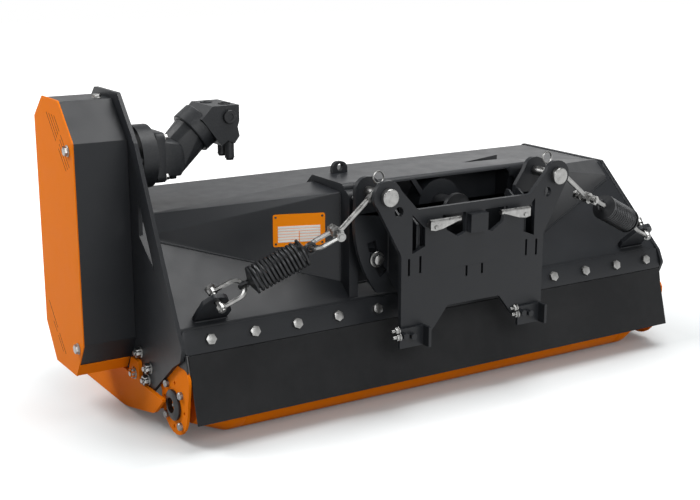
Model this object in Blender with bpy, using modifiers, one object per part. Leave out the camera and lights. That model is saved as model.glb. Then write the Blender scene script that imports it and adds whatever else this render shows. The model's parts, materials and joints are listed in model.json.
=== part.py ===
"""Excavator mulcher: a flail and tooth rotor in a steel hood, hung from a sprung pendulum hitch.

Sizes are metres. The machine is modelled on ground level, x across, y towards the far side, and a
root empty then moves everything so that the origin lies on the front face of the hitch plate.
"""

import math

import bmesh
import bpy
from mathutils import Matrix, Vector

# Fits
GAP = 0.0003
RUN = 0.0006

# Hood
HOOD_WIDTH = 1.500
SIDE_PLATE = 0.010
SKIN = 0.008
DECK_FRONT = (0.0, 0.277)
DECK_TOP = (0.240, 0.488)
ROOF_END = 0.600
LIP_END = (-0.021, 0.2195)
NOSE_Y = 0.660
NOSE_HEIGHT = 0.400
MOUTH_EDGE = 0.355
PLATE_FOOT = 0.078
BEND = 0.012

# Belt drive
ROTOR_AXIS = (0.366, 0.240)
MOTOR_AXIS = (0.366, 0.614)
PULLEY_RADIUS = 0.090
PULLEY_RIM = 0.101
PULLEY_WIDTH = 0.054
RIM_THICK = 0.004
BELT_THICK = 0.008
SHAFT_RADIUS = 0.030
MOTOR_SHAFT_RADIUS = 0.019
BLOCK_TOP = 0.731
CASE_DEPTH = 0.132
CASE_HALF = 0.128
CASE_TOP = 0.767
CASE_BOTTOM = 0.108
CASE_CORNER = (0.062, 0.088)
CASE_WALL = 0.004
COVER_THICK = 0.003
VENT_ROWS = 4
VENT_MARGIN = 0.044
VENT_PITCH = 0.0125
VENT_WIDE = 0.0024

# Rotor
DRUM_RADIUS = 0.110
DRUM_WIDTH = 1.400
TOOTH_TIP = 0.182
TOOTH_COUNT = 24
TOOTH_WIDTH = 0.040
TOOTH_DEPTH = 0.044

# Roller
ROLLER_AXIS = (0.045, 0.083)
ROLLER_RADIUS = 0.083
ROLLER_SPARE = 0.0287
ROLLER_TAPER = 0.080
STUB_RADIUS = 0.018
HUB_RADIUS = 0.037
HUB_SPIGOT = 0.0272
HUB_BOLTS = 0.055
BRACKET_REACH = 0.072
BRACKET_THICK = 0.006

# Rubber flaps
FLAP_THICK = 0.006
FLAP_WIDTH = 1.465
REAR_FLAP = 0.158
REAR_FLAP_LEAN = 15.4
FRONT_FLAP = 0.245
STRIP_THICK = 0.006
FRONT_STRIP_TOP = 0.379
FRONT_STRIP_WIDE = 0.055
STRIP_BOLTS = 13
STRIP_PITCH = 0.1133
BOLT_HEAD = 0.014
BOLT_HIGH = 0.009

# Hitch
HITCH_FRONT = -0.120
HITCH_THICK = 0.012
PIN_SPAN = 0.514
PIN_HEIGHT = 0.551
PIN_RADIUS = 0.0125
PIN_HEAD = 0.0215
LYNCH_LAYER = -0.078
ARM_RADIUS = 0.039
LEG_WIDTH = 0.436
LEG_FOOT = 0.200
SWING_CENTRE = PIN_HEIGHT - 0.071
SWING_RADIUS = 0.295
SWING_BACK = -0.022
SWING_THICK = 0.012
SWING_TOP = PIN_HEIGHT - 0.037
SWING_RANGE = 7.0
GUIDE_RADIUS = 0.2537
GUIDE_ANGLE = 23.0
GUIDE_BOLT = 0.010
PIVOT_RADIUS = 0.026
RIB_THICK = 0.006
RIB_PLACES = (LEG_WIDTH / 2 - 0.055, LEG_WIDTH / 2 - 0.023)

# Beam on the deck
BEAM_HALF = 0.287
BEAM_FRONT = 0.034
BEAM_TOP = PIN_HEIGHT + 0.009
BEAM_BACK = 0.180
BEAM_FOOT = 0.262
BEAM_WALL = 0.010
POCKET_HALF = 0.222
POCKET_BACK = 0.085
POCKET_LOW = 0.390
PIVOT_BOSS = 0.065
CHEEK_FRONT = 0.0035
CHEEK_WIDE = 0.025

# Springs
LUG_PIN = Vector((-0.660, -0.030, 0.343))
LUG_THICK = 0.012
EYE_LAYER = -0.0975
ROD_PIN = Vector((-PIN_SPAN / 2 - 0.125, EYE_LAYER, PIN_HEIGHT - 0.075))
SHACKLE_WIRE = 0.0055
SHACKLE_HALF = 0.024
SHACKLE_PIN = 0.007
SHACKLE_LONG = 0.070
SPRING_WIRE = 0.004
SPRING_RADIUS = 0.030
SPRING_TURNS = 12
SPRING_CORE = 0.0235
PLUG_COLLAR = 0.004
PLUG_CONE = 0.009
EYE_RING = 0.0115
EYE_WIRE = 0.0045
ROD_RADIUS = 0.0062
HOOK_RING = 0.0225

# Skids
SKID_THICK = 0.010
SOLE_THICK = 0.008
SOLE_IN = 0.055

# Round pieces
FINE = 32
ROUND = 24
SMALL = 12

half_width = HOOD_WIDTH / 2
inner = half_width - SIDE_PLATE
slope = Vector((DECK_TOP[0] - DECK_FRONT[0], DECK_TOP[1] - DECK_FRONT[1])).normalized()
slope_out = Vector((-slope.y, slope.x))
lip = Vector((LIP_END[0] - DECK_FRONT[0], LIP_END[1] - DECK_FRONT[1])).normalized()
lip_out = Vector((lip.y, -lip.x))
pin_x = PIN_SPAN / 2
leg = LEG_WIDTH / 2
roller_half = inner - GAP - BRACKET_THICK - ROLLER_SPARE
swing_front = SWING_BACK - SWING_THICK
hitch_back = HITCH_FRONT + HITCH_THICK

UP_X = Matrix(((0, 0, 1, 0), (1, 0, 0, 0), (0, 1, 0, 0), (0, 0, 0, 1)))
UP_Y = Matrix(((1, 0, 0, 0), (0, 0, -1, 0), (0, 1, 0, 0), (0, 0, 0, 1)))


# Scene helpers

def clear_scene():
    for thing in list(bpy.data.objects):
        bpy.data.objects.remove(thing, do_unlink=True)


def collection(name):
    made = bpy.data.collections.new(name)
    bpy.context.scene.collection.children.link(made)
    return made


def material(name, colour, roughness, metallic=0.0):
    made = bpy.data.materials.new(name)
    made.use_nodes = True
    shader = made.node_tree.nodes["Principled BSDF"]
    shader.inputs["Base Color"].default_value = (*colour, 1.0)
    shader.inputs["Roughness"].default_value = roughness
    shader.inputs["Metallic"].default_value = metallic
    made.diffuse_color = (*colour, 1.0)
    return made


def body(name, at, parent):
    """An empty on a joint's axis, which carries the pieces that move with it."""
    empty = bpy.data.objects.new(name, None)
    empty.location = at
    empty.parent = parent
    bpy.context.scene.collection.objects.link(empty)
    return empty


def new_object(name, mesh):
    made = bpy.data.objects.new(name, mesh)
    parts.objects.link(made)
    return made


def seated(piece, finish, carrier):
    """Gives a piece its material and hangs it on its body, with its origin on the body's axis."""
    piece.data.transform(Matrix.Translation(-Vector(carrier["at"])))
    piece.parent = carrier["empty"]
    piece.data.materials.clear()
    piece.data.materials.append(finish)
    piece.data.shade_smooth()
    piece.data.set_sharp_from_angle(angle=math.radians(32))
    return piece


def baked(piece):
    """Replaces a curve, or an object with modifiers, by its evaluated mesh with its caps welded."""
    depsgraph = bpy.context.evaluated_depsgraph_get()
    mesh = bpy.data.meshes.new_from_object(piece.evaluated_get(depsgraph))
    mesh.transform(piece.matrix_world)
    work = bmesh.new()
    work.from_mesh(mesh)
    bmesh.ops.remove_doubles(work, verts=work.verts, dist=1e-6)
    work.to_mesh(mesh)
    work.free()
    name = piece.name
    bpy.data.objects.remove(piece, do_unlink=True)
    return new_object(name, mesh)


def combined(piece, other, operation):
    """One EXACT Boolean, applied at once."""
    tool = piece.modifiers.new("join", "BOOLEAN")
    tool.operation = operation
    tool.solver = "EXACT"
    tool.object = other
    done = baked(piece)
    bpy.data.objects.remove(other, do_unlink=True)
    return done


def fused(piece, *others):
    for other in others:
        piece = combined(piece, other, "UNION")
    return piece


def cut(piece, *others):
    for other in others:
        piece = combined(piece, other, "DIFFERENCE")
    return piece


# Outlines

def rounded(corners, steps=4, closed=True):
    """Corners are (a, b) or (a, b, radius): each one with a radius becomes an arc."""
    points = []
    count = len(corners)
    for i, corner in enumerate(corners):
        here = Vector(corner[:2])
        if len(corner) < 3 or (not closed and i in (0, count - 1)):
            points.append(here)
            continue
        back = (Vector(corners[i - 1][:2]) - here).normalized()
        ahead = (Vector(corners[(i + 1) % count][:2]) - here).normalized()
        opening = back.angle(ahead)
        reach = corner[2] / math.tan(opening / 2)
        middle = here + (back + ahead).normalized() * (corner[2] / math.sin(opening / 2))
        start, end = here + back * reach - middle, here + ahead * reach - middle
        turn = start.angle_signed(end)
        for k in range(steps + 1):
            points.append(middle + Matrix.Rotation(-turn * k / steps, 2) @ start)
    return points


def circle(centre, radius, count=ROUND):
    steps = (2 * math.pi * k / count for k in range(count))
    return [Vector((centre[0] + radius * math.cos(t), centre[1] + radius * math.sin(t))) for t in steps]


def arc(centre, radius, start, end, steps):
    """Points on a circle from one angle to another, in degrees from the first axis."""
    turns = (math.radians(start + (end - start) * k / steps) for k in range(steps + 1))
    return [Vector((centre[0] + radius * math.cos(t), centre[1] + radius * math.sin(t))) for t in turns]


def mirrored(points):
    """A half outline in the first axis above zero, closed by its own mirror image."""
    return list(points) + [Vector((-p[0], p[1])) for p in reversed(points)]


def plate(name, outline, holes, low, high, across):
    """A flat outline with holes, extruded between two values on the axis that it lies across."""
    curve = bpy.data.curves.new(name, "CURVE")
    curve.dimensions = "2D"
    curve.fill_mode = "BOTH"
    curve.extrude = (high - low) / 2
    for ring in [outline, *holes]:
        spline = curve.splines.new("POLY")
        spline.points.add(len(ring) - 1)
        spline.use_cyclic_u = True
        for point, place in zip(spline.points, ring):
            point.co = (place[0], place[1], 0, 1)
    piece = new_object(name, curve)
    middle = (low + high) / 2
    shift = {"X": (middle, 0, 0), "Y": (0, middle, 0), "Z": (0, 0, middle)}[across]
    turn = {"X": UP_X, "Y": UP_Y, "Z": Matrix.Identity(4)}[across]
    piece.matrix_world = Matrix.Translation(shift) @ turn
    bpy.context.view_layer.update()
    return baked(piece)


def folded(name, path, thickness, low, high):
    """A bent sheet: a path in y and height, drawn out along x and given its thickness inwards."""
    work = bmesh.new()
    row = [work.verts.new((low, p[0], p[1])) for p in path]
    edges = [work.edges.new(pair) for pair in zip(row, row[1:])]
    drawn = bmesh.ops.extrude_edge_only(work, edges=edges)["geom"]
    moved = [v for v in drawn if isinstance(v, bmesh.types.BMVert)]
    bmesh.ops.translate(work, verts=moved, vec=(high - low, 0, 0))
    bmesh.ops.recalc_face_normals(work, faces=work.faces)
    mesh = bpy.data.meshes.new(name)
    work.to_mesh(mesh)
    work.free()
    piece = new_object(name, mesh)
    wall = piece.modifiers.new("wall", "SOLIDIFY")
    wall.thickness = thickness
    wall.offset = -1.0 if mesh.polygons[0].normal.z + mesh.polygons[0].normal.y * -0.2 > 0 else 1.0
    wall.use_even_offset = True
    return baked(piece)


# Solids

def facing(direction, at):
    """A matrix that turns local z to a direction and moves the origin to a place."""
    return Matrix.Translation(at) @ Vector(direction).to_track_quat("Z", "Y").to_matrix().to_4x4()


def turned(name, profile, axis, at, steps=ROUND):
    """A profile of (radius, height), from the top down its outer side, turned about an axis."""
    mesh = bpy.data.meshes.new(name)
    closed = profile[0][0] > 0
    count = len(profile)
    edges = [(i, i + 1) for i in range(count - 1)] + ([(count - 1, 0)] if closed else [])
    mesh.from_pydata([(r, 0, z) for r, z in profile], edges, [])
    piece = new_object(name, mesh)
    screw = piece.modifiers.new("turn", "SCREW")
    screw.axis = "Z"
    screw.angle = 2 * math.pi
    screw.steps = steps
    screw.render_steps = steps
    screw.use_merge_vertices = True
    screw.merge_threshold = 0.00001
    screw.use_normal_calculate = True
    piece.matrix_world = facing(axis, at)
    bpy.context.view_layer.update()
    piece = baked(piece)
    work = bmesh.new()
    work.from_mesh(piece.data)
    bmesh.ops.recalc_face_normals(work, faces=work.faces)
    work.to_mesh(piece.data)
    work.free()
    return piece


def rod(name, start, end, radius, sides=SMALL):
    """A straight round or, with 6 sides, hexagonal bar between two points."""
    start, end = Vector(start), Vector(end)
    work = bmesh.new()
    bmesh.ops.create_cone(work, cap_ends=True, segments=sides, radius1=radius, radius2=radius,
                          depth=(end - start).length)
    mesh = bpy.data.meshes.new(name)
    work.to_mesh(mesh)
    work.free()
    mesh.transform(facing(end - start, (start + end) / 2))
    return new_object(name, mesh)


def block(name, low, high):
    work = bmesh.new()
    bmesh.ops.create_cube(work, size=1.0)
    mesh = bpy.data.meshes.new(name)
    work.to_mesh(mesh)
    work.free()
    low, high = Vector(low), Vector(high)
    mesh.transform(Matrix.Translation((low + high) / 2) @ Matrix.Diagonal((*(high - low), 1)))
    return new_object(name, mesh)


def wire(name, points, radius, closed=False, resolution=1):
    curve = bpy.data.curves.new(name, "CURVE")
    curve.dimensions = "3D"
    curve.bevel_depth = radius
    curve.bevel_resolution = resolution
    curve.use_fill_caps = not closed
    spline = curve.splines.new("POLY")
    spline.points.add(len(points) - 1)
    spline.use_cyclic_u = closed
    for point, place in zip(spline.points, points):
        point.co = (*place, 1)
    return baked(new_object(name, curve))


def ring_about(name, centre, axis, radius, wire_radius, steps=16):
    """A closed ring of round bar."""
    turn = Vector(axis).to_track_quat("Z", "Y")
    places = [Vector((radius * math.cos(t), radius * math.sin(t), 0))
              for t in (2 * math.pi * k / steps for k in range(steps))]
    return wire(name, [Vector(centre) + turn @ p for p in places], wire_radius, closed=True, resolution=1)


def hex_head(name, seat, axis, across=BOLT_HEAD, high=BOLT_HIGH, sink=0.002):
    """A bolt head that stands on a face and reaches a little into it, to be fused with it."""
    seat, axis = Vector(seat), Vector(axis).normalized()
    return rod(name, seat - axis * sink, seat + axis * high, across, sides=6)


def bore_radius(shaft, count, clearance=RUN):
    """The corner radius of a faceted bore whose flats clear a turning shaft."""
    return (shaft + clearance) / math.cos(math.pi / count)


def loft(name, first, second):
    """A closed solid between two sections with the same number of corners."""
    work = bmesh.new()
    rows = [[work.verts.new(p) for p in section] for section in (first, second)]
    work.faces.new(rows[0])
    work.faces.new(rows[1])
    count = len(first)
    for i in range(count):
        j = (i + 1) % count
        work.faces.new((rows[0][i], rows[0][j], rows[1][j]))
        work.faces.new((rows[0][i], rows[1][j], rows[1][i]))
    bmesh.ops.recalc_face_normals(work, faces=work.faces)
    mesh = bpy.data.meshes.new(name)
    work.to_mesh(mesh)
    work.free()
    return new_object(name, mesh)


def deck_height(y):
    """Height of the sloping deck's outer face."""
    return DECK_FRONT[1] + (y - DECK_FRONT[0]) * slope.y / slope.x


# Hood

def hood_outline():
    return rounded([LIP_END, (*DECK_FRONT, BEND), (*DECK_TOP, BEND), (ROOF_END, DECK_TOP[1], BEND),
                    (NOSE_Y, NOSE_HEIGHT, BEND), (NOSE_Y, MOUTH_EDGE)], steps=3, closed=False)


def hood_shell():
    return folded("hood_shell", hood_outline(), SKIN, -inner + GAP, inner - GAP)


def case_octagon(grow=0.0):
    """The belt case's outline, larger or smaller by an even margin."""
    side, corner_y, corner_h = CASE_HALF + grow, CASE_CORNER[0], CASE_CORNER[1]
    cut_in = grow * 0.45
    top, bottom = CASE_TOP + grow, CASE_BOTTOM - grow
    centre = ROTOR_AXIS[0]
    return [Vector(p) for p in (
        (centre - side, top - corner_h - cut_in), (centre - side, bottom + corner_h + cut_in),
        (centre - side + corner_y * 0.9 + cut_in, bottom), (centre + side - corner_y - cut_in, bottom),
        (centre + side, bottom + corner_h + cut_in), (centre + side, top - corner_h * 0.6 - cut_in),
        (centre + side - corner_y - cut_in, top), (centre - side + corner_y * 1.35 + cut_in, top))]


def side_front():
    """The front edge that both side plates share, from the nose down to the foot."""
    return [(-0.0295, 0.236, 0.012), (-0.0176, 0.206, 0.008), (0.021, 0.184), (0.151, PLATE_FOOT + 0.004, 0.008),
            (0.170, PLATE_FOOT), (0.640, PLATE_FOOT, 0.020), (NOSE_Y + 0.006, 0.110, 0.015),
            (NOSE_Y + 0.006, NOSE_HEIGHT + 0.003, BEND)]


def side_plate_right():
    outline = rounded(side_front() + [(ROOF_END + 0.003, DECK_TOP[1] + 0.003, BEND),
                                      (DECK_TOP[0] - 0.002, DECK_TOP[1] + 0.003, 0.010),
                                      (-0.0125, deck_height(-0.0125) + 0.004, 0.010)])
    hole = circle(ROTOR_AXIS, bore_radius(SHAFT_RADIUS, ROUND, 0.006))
    piece = plate("side_plate_right", outline, [hole], inner, half_width, "X")
    return fused(piece, *side_bolts(1))


def side_plate_left():
    top = 0.783
    outline = rounded(side_front() + [(ROOF_END + 0.003, DECK_TOP[1] + 0.003, BEND),
                                      (0.505, DECK_TOP[1] + 0.003, 0.010), (0.505, 0.722, 0.010),
                                      (0.441, top, 0.008), (0.294, top, 0.010), (0.200, 0.675, 0.020),
                                      (-0.003, 0.281, 0.010), (-0.0225, 0.252)])
    holes = [circle(ROTOR_AXIS, bore_radius(SHAFT_RADIUS, ROUND, 0.006)), circle(MOTOR_AXIS, 0.048),
             [Vector(p) for p in ((0.189, 0.547), (0.110, 0.391), (0.192, 0.458))]]
    piece = plate("side_plate_left", outline, holes, -half_width, -inner, "X")
    return fused(piece, *side_bolts(-1))


def side_bolts(side):
    """The three nuts low on the outer face of a side plate, where the roller bracket is held."""
    return [hex_head(f"nut_{i}", (side * half_width, y, h), (side, 0, 0), 0.012, 0.014)
            for i, (y, h) in enumerate(((0.214, 0.165), (0.158, 0.141), (0.172, 0.107)))]


def belt_case_shell():
    outer = -half_width - CASE_DEPTH
    return plate("belt_case_shell", case_octagon(), [case_octagon(-CASE_WALL)],
                 outer + GAP, -half_width - GAP, "X")


def vent_slots():
    """Narrow slots beside the front top corner cut, and again, turned half round, at the bottom."""
    ring = case_octagon()
    along = (ring[0] - ring[7]).normalized()
    inward = Vector((-along.y, along.x))
    middle = Vector((ROTOR_AXIS[0], (CASE_TOP + CASE_BOTTOM) / 2))
    slots = []
    for k in range(VENT_ROWS):
        step = inward * (VENT_MARGIN + VENT_PITCH * k)
        for start, end in ((0.004 - 0.013 * k, 0.051), (0.061 + 0.004 * k, 0.150 - 0.004 * k if k else 0.093)):
            low, high = ring[7] + step + along * start, ring[7] + step + along * end
            slots.append([low, high, high + inward * VENT_WIDE, low + inward * VENT_WIDE])
    slots += [[middle * 2 - p for p in slot] for slot in slots[:4]]
    return slots


def belt_case_cover():
    outer = -half_width - CASE_DEPTH
    inside, grown = case_octagon(GAP), case_octagon(COVER_THICK + GAP)
    face = plate("belt_case_cover", grown, vent_slots(), outer - COVER_THICK, outer, "X")
    tray = [inside[2].lerp(inside[1], 0.33), inside[2], inside[3], inside[3].lerp(inside[4], 0.25)]
    under = case_octagon(COVER_THICK - GAP)
    tray += [under[3].lerp(under[4], 0.25), under[3], under[2], under[2].lerp(under[1], 0.33)]
    skirt = plate("skirt", tray, [], outer - COVER_THICK * 0.8, -half_width - 0.004, "X")
    bolts = [hex_head(f"cover_bolt_{i}", (outer - COVER_THICK, 0.275, h), (-1, 0, 0), 0.012, 0.010)
             for i, h in enumerate((0.655, 0.205))]
    return fused(face, skirt, *bolts)


def clamp_strip(name, top, along, out, length, places):
    """A flat bar that lies on a lip and clamps a flap, with its row of bolt heads."""
    corners = [top + out * GAP, top + along * length + out * GAP,
               top + along * length + out * (GAP + STRIP_THICK), top + out * (GAP + STRIP_THICK)]
    strip = plate(name, corners, [], -inner + 0.001, inner - 0.001, "X")
    seat = top + along * length * 0.5 + out * (GAP + STRIP_THICK)
    heads = [rod(f"head_{i}", (x, *(seat - out * 0.002)), (x, *(seat + out * BOLT_HIGH)), BOLT_HEAD, 10)
             for i, x in enumerate(places)]
    return fused(strip, *heads)


def rear_clamp_strip():
    places = [-STRIP_PITCH * (STRIP_BOLTS - 1) / 2 + STRIP_PITCH * i + 0.007 for i in range(STRIP_BOLTS)]
    high = 0.0045
    long = (Vector(LIP_END) - Vector(DECK_FRONT)).length - high
    return clamp_strip("rear_clamp_strip", Vector(DECK_FRONT) + lip * high, lip, lip_out, long, places)


def front_clamp_strip():
    count = 7
    places = [-0.66 + 0.22 * i for i in range(count)]
    top = Vector((NOSE_Y, FRONT_STRIP_TOP))
    return clamp_strip("front_clamp_strip", top, Vector((0, -1)), Vector((1, 0)), FRONT_STRIP_WIDE, places)


def flap(name, carrier_at, lean, length):
    """A rubber sheet whose rounded top edge lies on its hinge line."""
    down = Vector((-math.sin(math.radians(lean)), -math.cos(math.radians(lean))))
    side = Vector((-down.y, down.x))
    top = Vector((carrier_at[1], carrier_at[2]))
    start = math.degrees(math.atan2(side.y, side.x))
    outline = arc(top, FLAP_THICK / 2, start, start + 180, 6)
    outline += [top + down * length - side * FLAP_THICK / 2, top + down * length + side * FLAP_THICK / 2]
    return plate(name, outline, [], -FLAP_WIDTH / 2, FLAP_WIDTH / 2, "X")


def counter_knife():
    """The bar under the deck that stands close to the rotor's teeth."""
    foot = Vector(DECK_FRONT) + slope * 0.250
    centre = foot - slope_out * (SKIN + GAP)
    long = (Vector(ROTOR_AXIS) - foot).length - TOOTH_TIP - 0.012 - SKIN
    tip = centre - slope_out * long
    side = slope * 0.010
    return plate("counter_knife", [centre - side, tip - side * 0.4, tip + side, centre + side], [],
                 -inner + 0.004, inner - 0.004, "X")


# Beam, shoulders and what stands on the deck

def beam_corner():
    """Where the beam's back meets the roof."""
    return (BEAM_FOOT, DECK_TOP[1] + GAP)


def hitch_beam():
    outline = rounded([(BEAM_FRONT, deck_height(BEAM_FRONT) + 0.0006), (DECK_TOP[0], DECK_TOP[1] + 0.001),
                       beam_corner(), (BEAM_BACK, BEAM_TOP, 0.012), (BEAM_FRONT - 0.006, BEAM_TOP, 0.014),
                       (BEAM_FRONT - 0.006, BEAM_TOP - 0.030), (BEAM_FRONT, BEAM_TOP - 0.036)])
    piece = plate("hitch_beam", outline, [], -BEAM_HALF, BEAM_HALF, "X")
    pocket = block("pocket", (-POCKET_HALF, -0.05, POCKET_LOW), (POCKET_HALF, POCKET_BACK, BEAM_TOP - BEAM_WALL))
    piece = cut(piece, pocket, roof_window())
    boss = rod("boss", (0, BEAM_FRONT - 0.004, SWING_CENTRE), (0, POCKET_BACK + 0.01, SWING_CENTRE),
               PIVOT_BOSS, ROUND)
    piece = fused(piece, boss, *beam_cheeks(), *beam_tabs())
    bore = rod("bore", (0, -0.1, SWING_CENTRE), (0, POCKET_BACK - 0.002, SWING_CENTRE),
               bore_radius(PIVOT_RADIUS, ROUND, GAP), ROUND)
    return fused(cut(piece, bore), *guide_studs())


def beam_cheeks():
    """The two end plates of the beam, which stand forward of the shoulders."""
    outline = rounded([(CHEEK_FRONT, deck_height(CHEEK_FRONT) + 0.0012), (0.046, deck_height(0.046) + 0.0012),
                       (0.046, BEAM_TOP - 0.014), (CHEEK_FRONT, BEAM_TOP - 0.014, 0.024)])
    return [plate("cheek", outline, [], *sorted((side * (BEAM_HALF - 0.0004), side * (BEAM_HALF - CHEEK_WIDE))), "X")
            for side in (-1, 1)]


def beam_tabs():
    """Two short slanting tabs under the front edge of the roof."""
    tabs = []
    for x, reach in ((-0.092, 0.032), (0.208, 0.046)):
        high, low = BEAM_TOP - 0.007, BEAM_TOP - 0.052
        outline = [Vector(p) for p in ((x, high), (x + reach, low), (x + reach + 0.011, low + 0.005), (x + 0.014, high))]
        tabs.append(plate("tab", outline, [], 0.0285, 0.0405, "Y"))
    return tabs


def guide_place(side):
    angle = math.radians(GUIDE_ANGLE)
    return side * GUIDE_RADIUS * math.cos(angle), SWING_CENTRE - GUIDE_RADIUS * math.sin(angle)


def guide_studs():
    """The two studs that run in the swing plate's slots, each with its washer and nut."""
    made = []
    for side in (-1, 1):
        x, h = guide_place(side)
        made.append(rod("stud", (x, BEAM_FRONT + 0.01, h), (x, swing_front - 0.012, h), GUIDE_BOLT, SMALL))
        made.append(rod("washer", (x, swing_front - 0.0008, h), (x, swing_front - 0.0045, h), 0.019, SMALL))
        made.append(rod("nut", (x, swing_front - 0.004, h), (x, swing_front - 0.014, h), 0.0155, 6))
    return made


def roof_window():
    """The three-cornered opening in the beam's roof, towards the right."""
    corners = [Vector(p) for p in ((0.135, 0.115), (0.375, 0.098), (0.375, 0.165), (0.335, 0.178))]
    return plate("roof_window", corners, [], BEAM_TOP - 0.045, BEAM_TOP + 0.02, "Z")


def shoulder(name, side):
    """The tapered box that runs from the beam out to the hood's corner."""
    lift = 0.0006
    wide = [(0.0415, deck_height(0.0415) + lift), (0.0410, 0.539), (0.170, 0.545),
            beam_corner(), (DECK_TOP[0], DECK_TOP[1] + 0.001)]
    thin = [(0.190, deck_height(0.190) + lift), (0.1945, 0.4555), (0.2430, 0.4950),
            beam_corner(), (DECK_TOP[0], DECK_TOP[1] + 0.001)]
    near, far = side * (BEAM_HALF + GAP), side * 0.722
    piece = loft(name, [(near, *p) for p in wide], [(far, *p) for p in thin])
    return cut(piece, roof_window()) if side > 0 else piece


def data_plate():
    """A bare plate that lies flat on the front face of the left shoulder."""
    foot = Vector((-BEAM_HALF - GAP, 0.0415, deck_height(0.0415) + 0.0006))
    near = Vector((-BEAM_HALF - GAP, 0.0410, 0.539))
    far = Vector((-0.722, 0.1945, 0.4555))
    rise = (near - foot).normalized()
    out = (far - near).cross(rise).normalized()
    out = out if out.y < 0 else -out
    run = rise.cross(out)
    middle = foot.lerp(near, 0.69) + (far - near) * 0.225
    outline = rounded([(sx * 0.064, sy * 0.040, 0.004) for sx, sy in ((-1, -1), (1, -1), (1, 1), (-1, 1))], 2)
    holes = [circle((sx * 0.057, sy * 0.033), 0.0022, 8) for sx in (-1, 1) for sy in (-1, 1)]
    piece = plate("data_plate", outline, holes, 0, 0.0015, "Z")
    turn = Matrix((run, rise, out)).transposed().to_4x4()
    piece.data.transform(Matrix.Translation(middle + out * GAP) @ turn)
    return piece


def lifting_eye():
    base = BEAM_TOP + GAP
    outline = rounded([(-0.238, base), (-0.195, base), (-0.195, base + 0.029, 0.018), (-0.238, base + 0.029, 0.018)])
    return plate("lifting_eye", outline, [circle((-0.2165, base + 0.0147), 0.009, 12)], 0.160, 0.173, "Y")


def pivot_pin():
    """The headed pin on which the whole hitch swings."""
    head = swing_front - 0.0006
    profile = [(0, -head + 0.012), (0.040, -head + 0.012), (0.040, -head), (PIVOT_RADIUS, -head),
               (PIVOT_RADIUS, -(POCKET_BACK - 0.004)), (0, -(POCKET_BACK - 0.004))]
    return turned("pivot_pin", profile, (0, -1, 0), (0, 0, SWING_CENTRE))


def lug_foot():
    """Where the lug's middle stands on the deck, and how far the pin lies above it."""
    rise = (Vector((LUG_PIN.y, LUG_PIN.z)) - Vector(DECK_FRONT)).dot(slope_out)
    return Vector((LUG_PIN.y, LUG_PIN.z)) - slope_out * rise, rise


def spring_lug(name, side):
    foot, rise = lug_foot()
    corners = [(-0.040, 0), (0.046, 0), (0.050, 0.022, 0.006), (0.022, rise + 0.013, 0.022),
               (-0.014, rise + 0.019, 0.016), (-0.034, rise - 0.004, 0.012)]
    outline = rounded([(p[0] * -side, *p[1:]) for p in (corners if side < 0 else reversed(corners))])
    hole = circle((0, rise), bore_radius(SHACKLE_PIN, SMALL, 0.0016), SMALL)
    piece = plate(name, outline, [hole], -LUG_THICK / 2, LUG_THICK / 2, "Z")
    turn = Matrix(((1, 0, 0), (0, slope_out.x, slope.x * -1), (0, slope_out.y, slope.y * -1))).to_4x4()
    at = Vector((-side * LUG_PIN.x, *(foot + slope_out * 0.0005)))
    piece.data.transform(Matrix.Translation(at) @ turn)
    return piece


# Roller and skids

def roller_bracket(name, side):
    cy, ch = ROLLER_AXIS
    outline = [Vector((0.100, 0.186))] + rounded([(0.1, 0.186), (-0.047, 0.186, 0.026), (-0.027, 0.078)],
                                                 closed=False)[1:-1]
    outline += arc((cy, ch), BRACKET_REACH, 188, 372, 12) + [Vector((0.135, 0.118))]
    hole = circle(ROLLER_AXIS, bore_radius(HUB_SPIGOT, ROUND, 0.0008), ROUND)
    spare = [circle((cy + HUB_BOLTS * math.cos(t), ch + HUB_BOLTS * math.sin(t)), 0.0045, 8)
             for t in (math.radians(5 + 90 * k) for k in range(4))]
    near, far = inner - GAP, inner - GAP - BRACKET_THICK
    piece = plate(name, outline, [hole, *spare], *sorted((side * near, side * far)), "X")
    heads = [rod(f"head_{k}", (side * (near - 0.001), cy + HUB_BOLTS * math.cos(t), ch + HUB_BOLTS * math.sin(t)),
                 (side * (near + 0.007), cy + HUB_BOLTS * math.cos(t), ch + HUB_BOLTS * math.sin(t)), 0.0085)
             for k, t in enumerate(math.radians(50 + 90 * k) for k in range(4))]
    return fused(piece, *heads)


def roller_hub(name, side):
    """The round bearing housing on the bracket's outer face."""
    face = inner
    bore = bore_radius(STUB_RADIUS, ROUND)
    inward = -BRACKET_THICK - 0.0006
    profile = [(bore, 0.010), (HUB_RADIUS * 0.72, 0.010), (HUB_RADIUS, 0.006), (HUB_RADIUS, 0),
               (HUB_SPIGOT, 0), (HUB_SPIGOT, inward), (bore, inward)]
    return turned(name, profile, (side, 0, 0), (side * face, *ROLLER_AXIS))


def roller():
    """The tube with its tapered ends and the stub shafts that run in the hubs."""
    end = inner - GAP - 0.002
    half = [(0, end), (STUB_RADIUS, end), (STUB_RADIUS, roller_half), (ROLLER_RADIUS * 0.62, roller_half),
            (ROLLER_RADIUS, roller_half - ROLLER_TAPER), (ROLLER_RADIUS, 0.595), (ROLLER_RADIUS - 0.0015, 0.593),
            (ROLLER_RADIUS - 0.0015, 0.589), (ROLLER_RADIUS, 0.587)]
    profile = half + [(r, -z) for r, z in reversed(half)]
    return turned("roller", profile, (1, 0, 0), (0, *ROLLER_AXIS), FINE)


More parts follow.
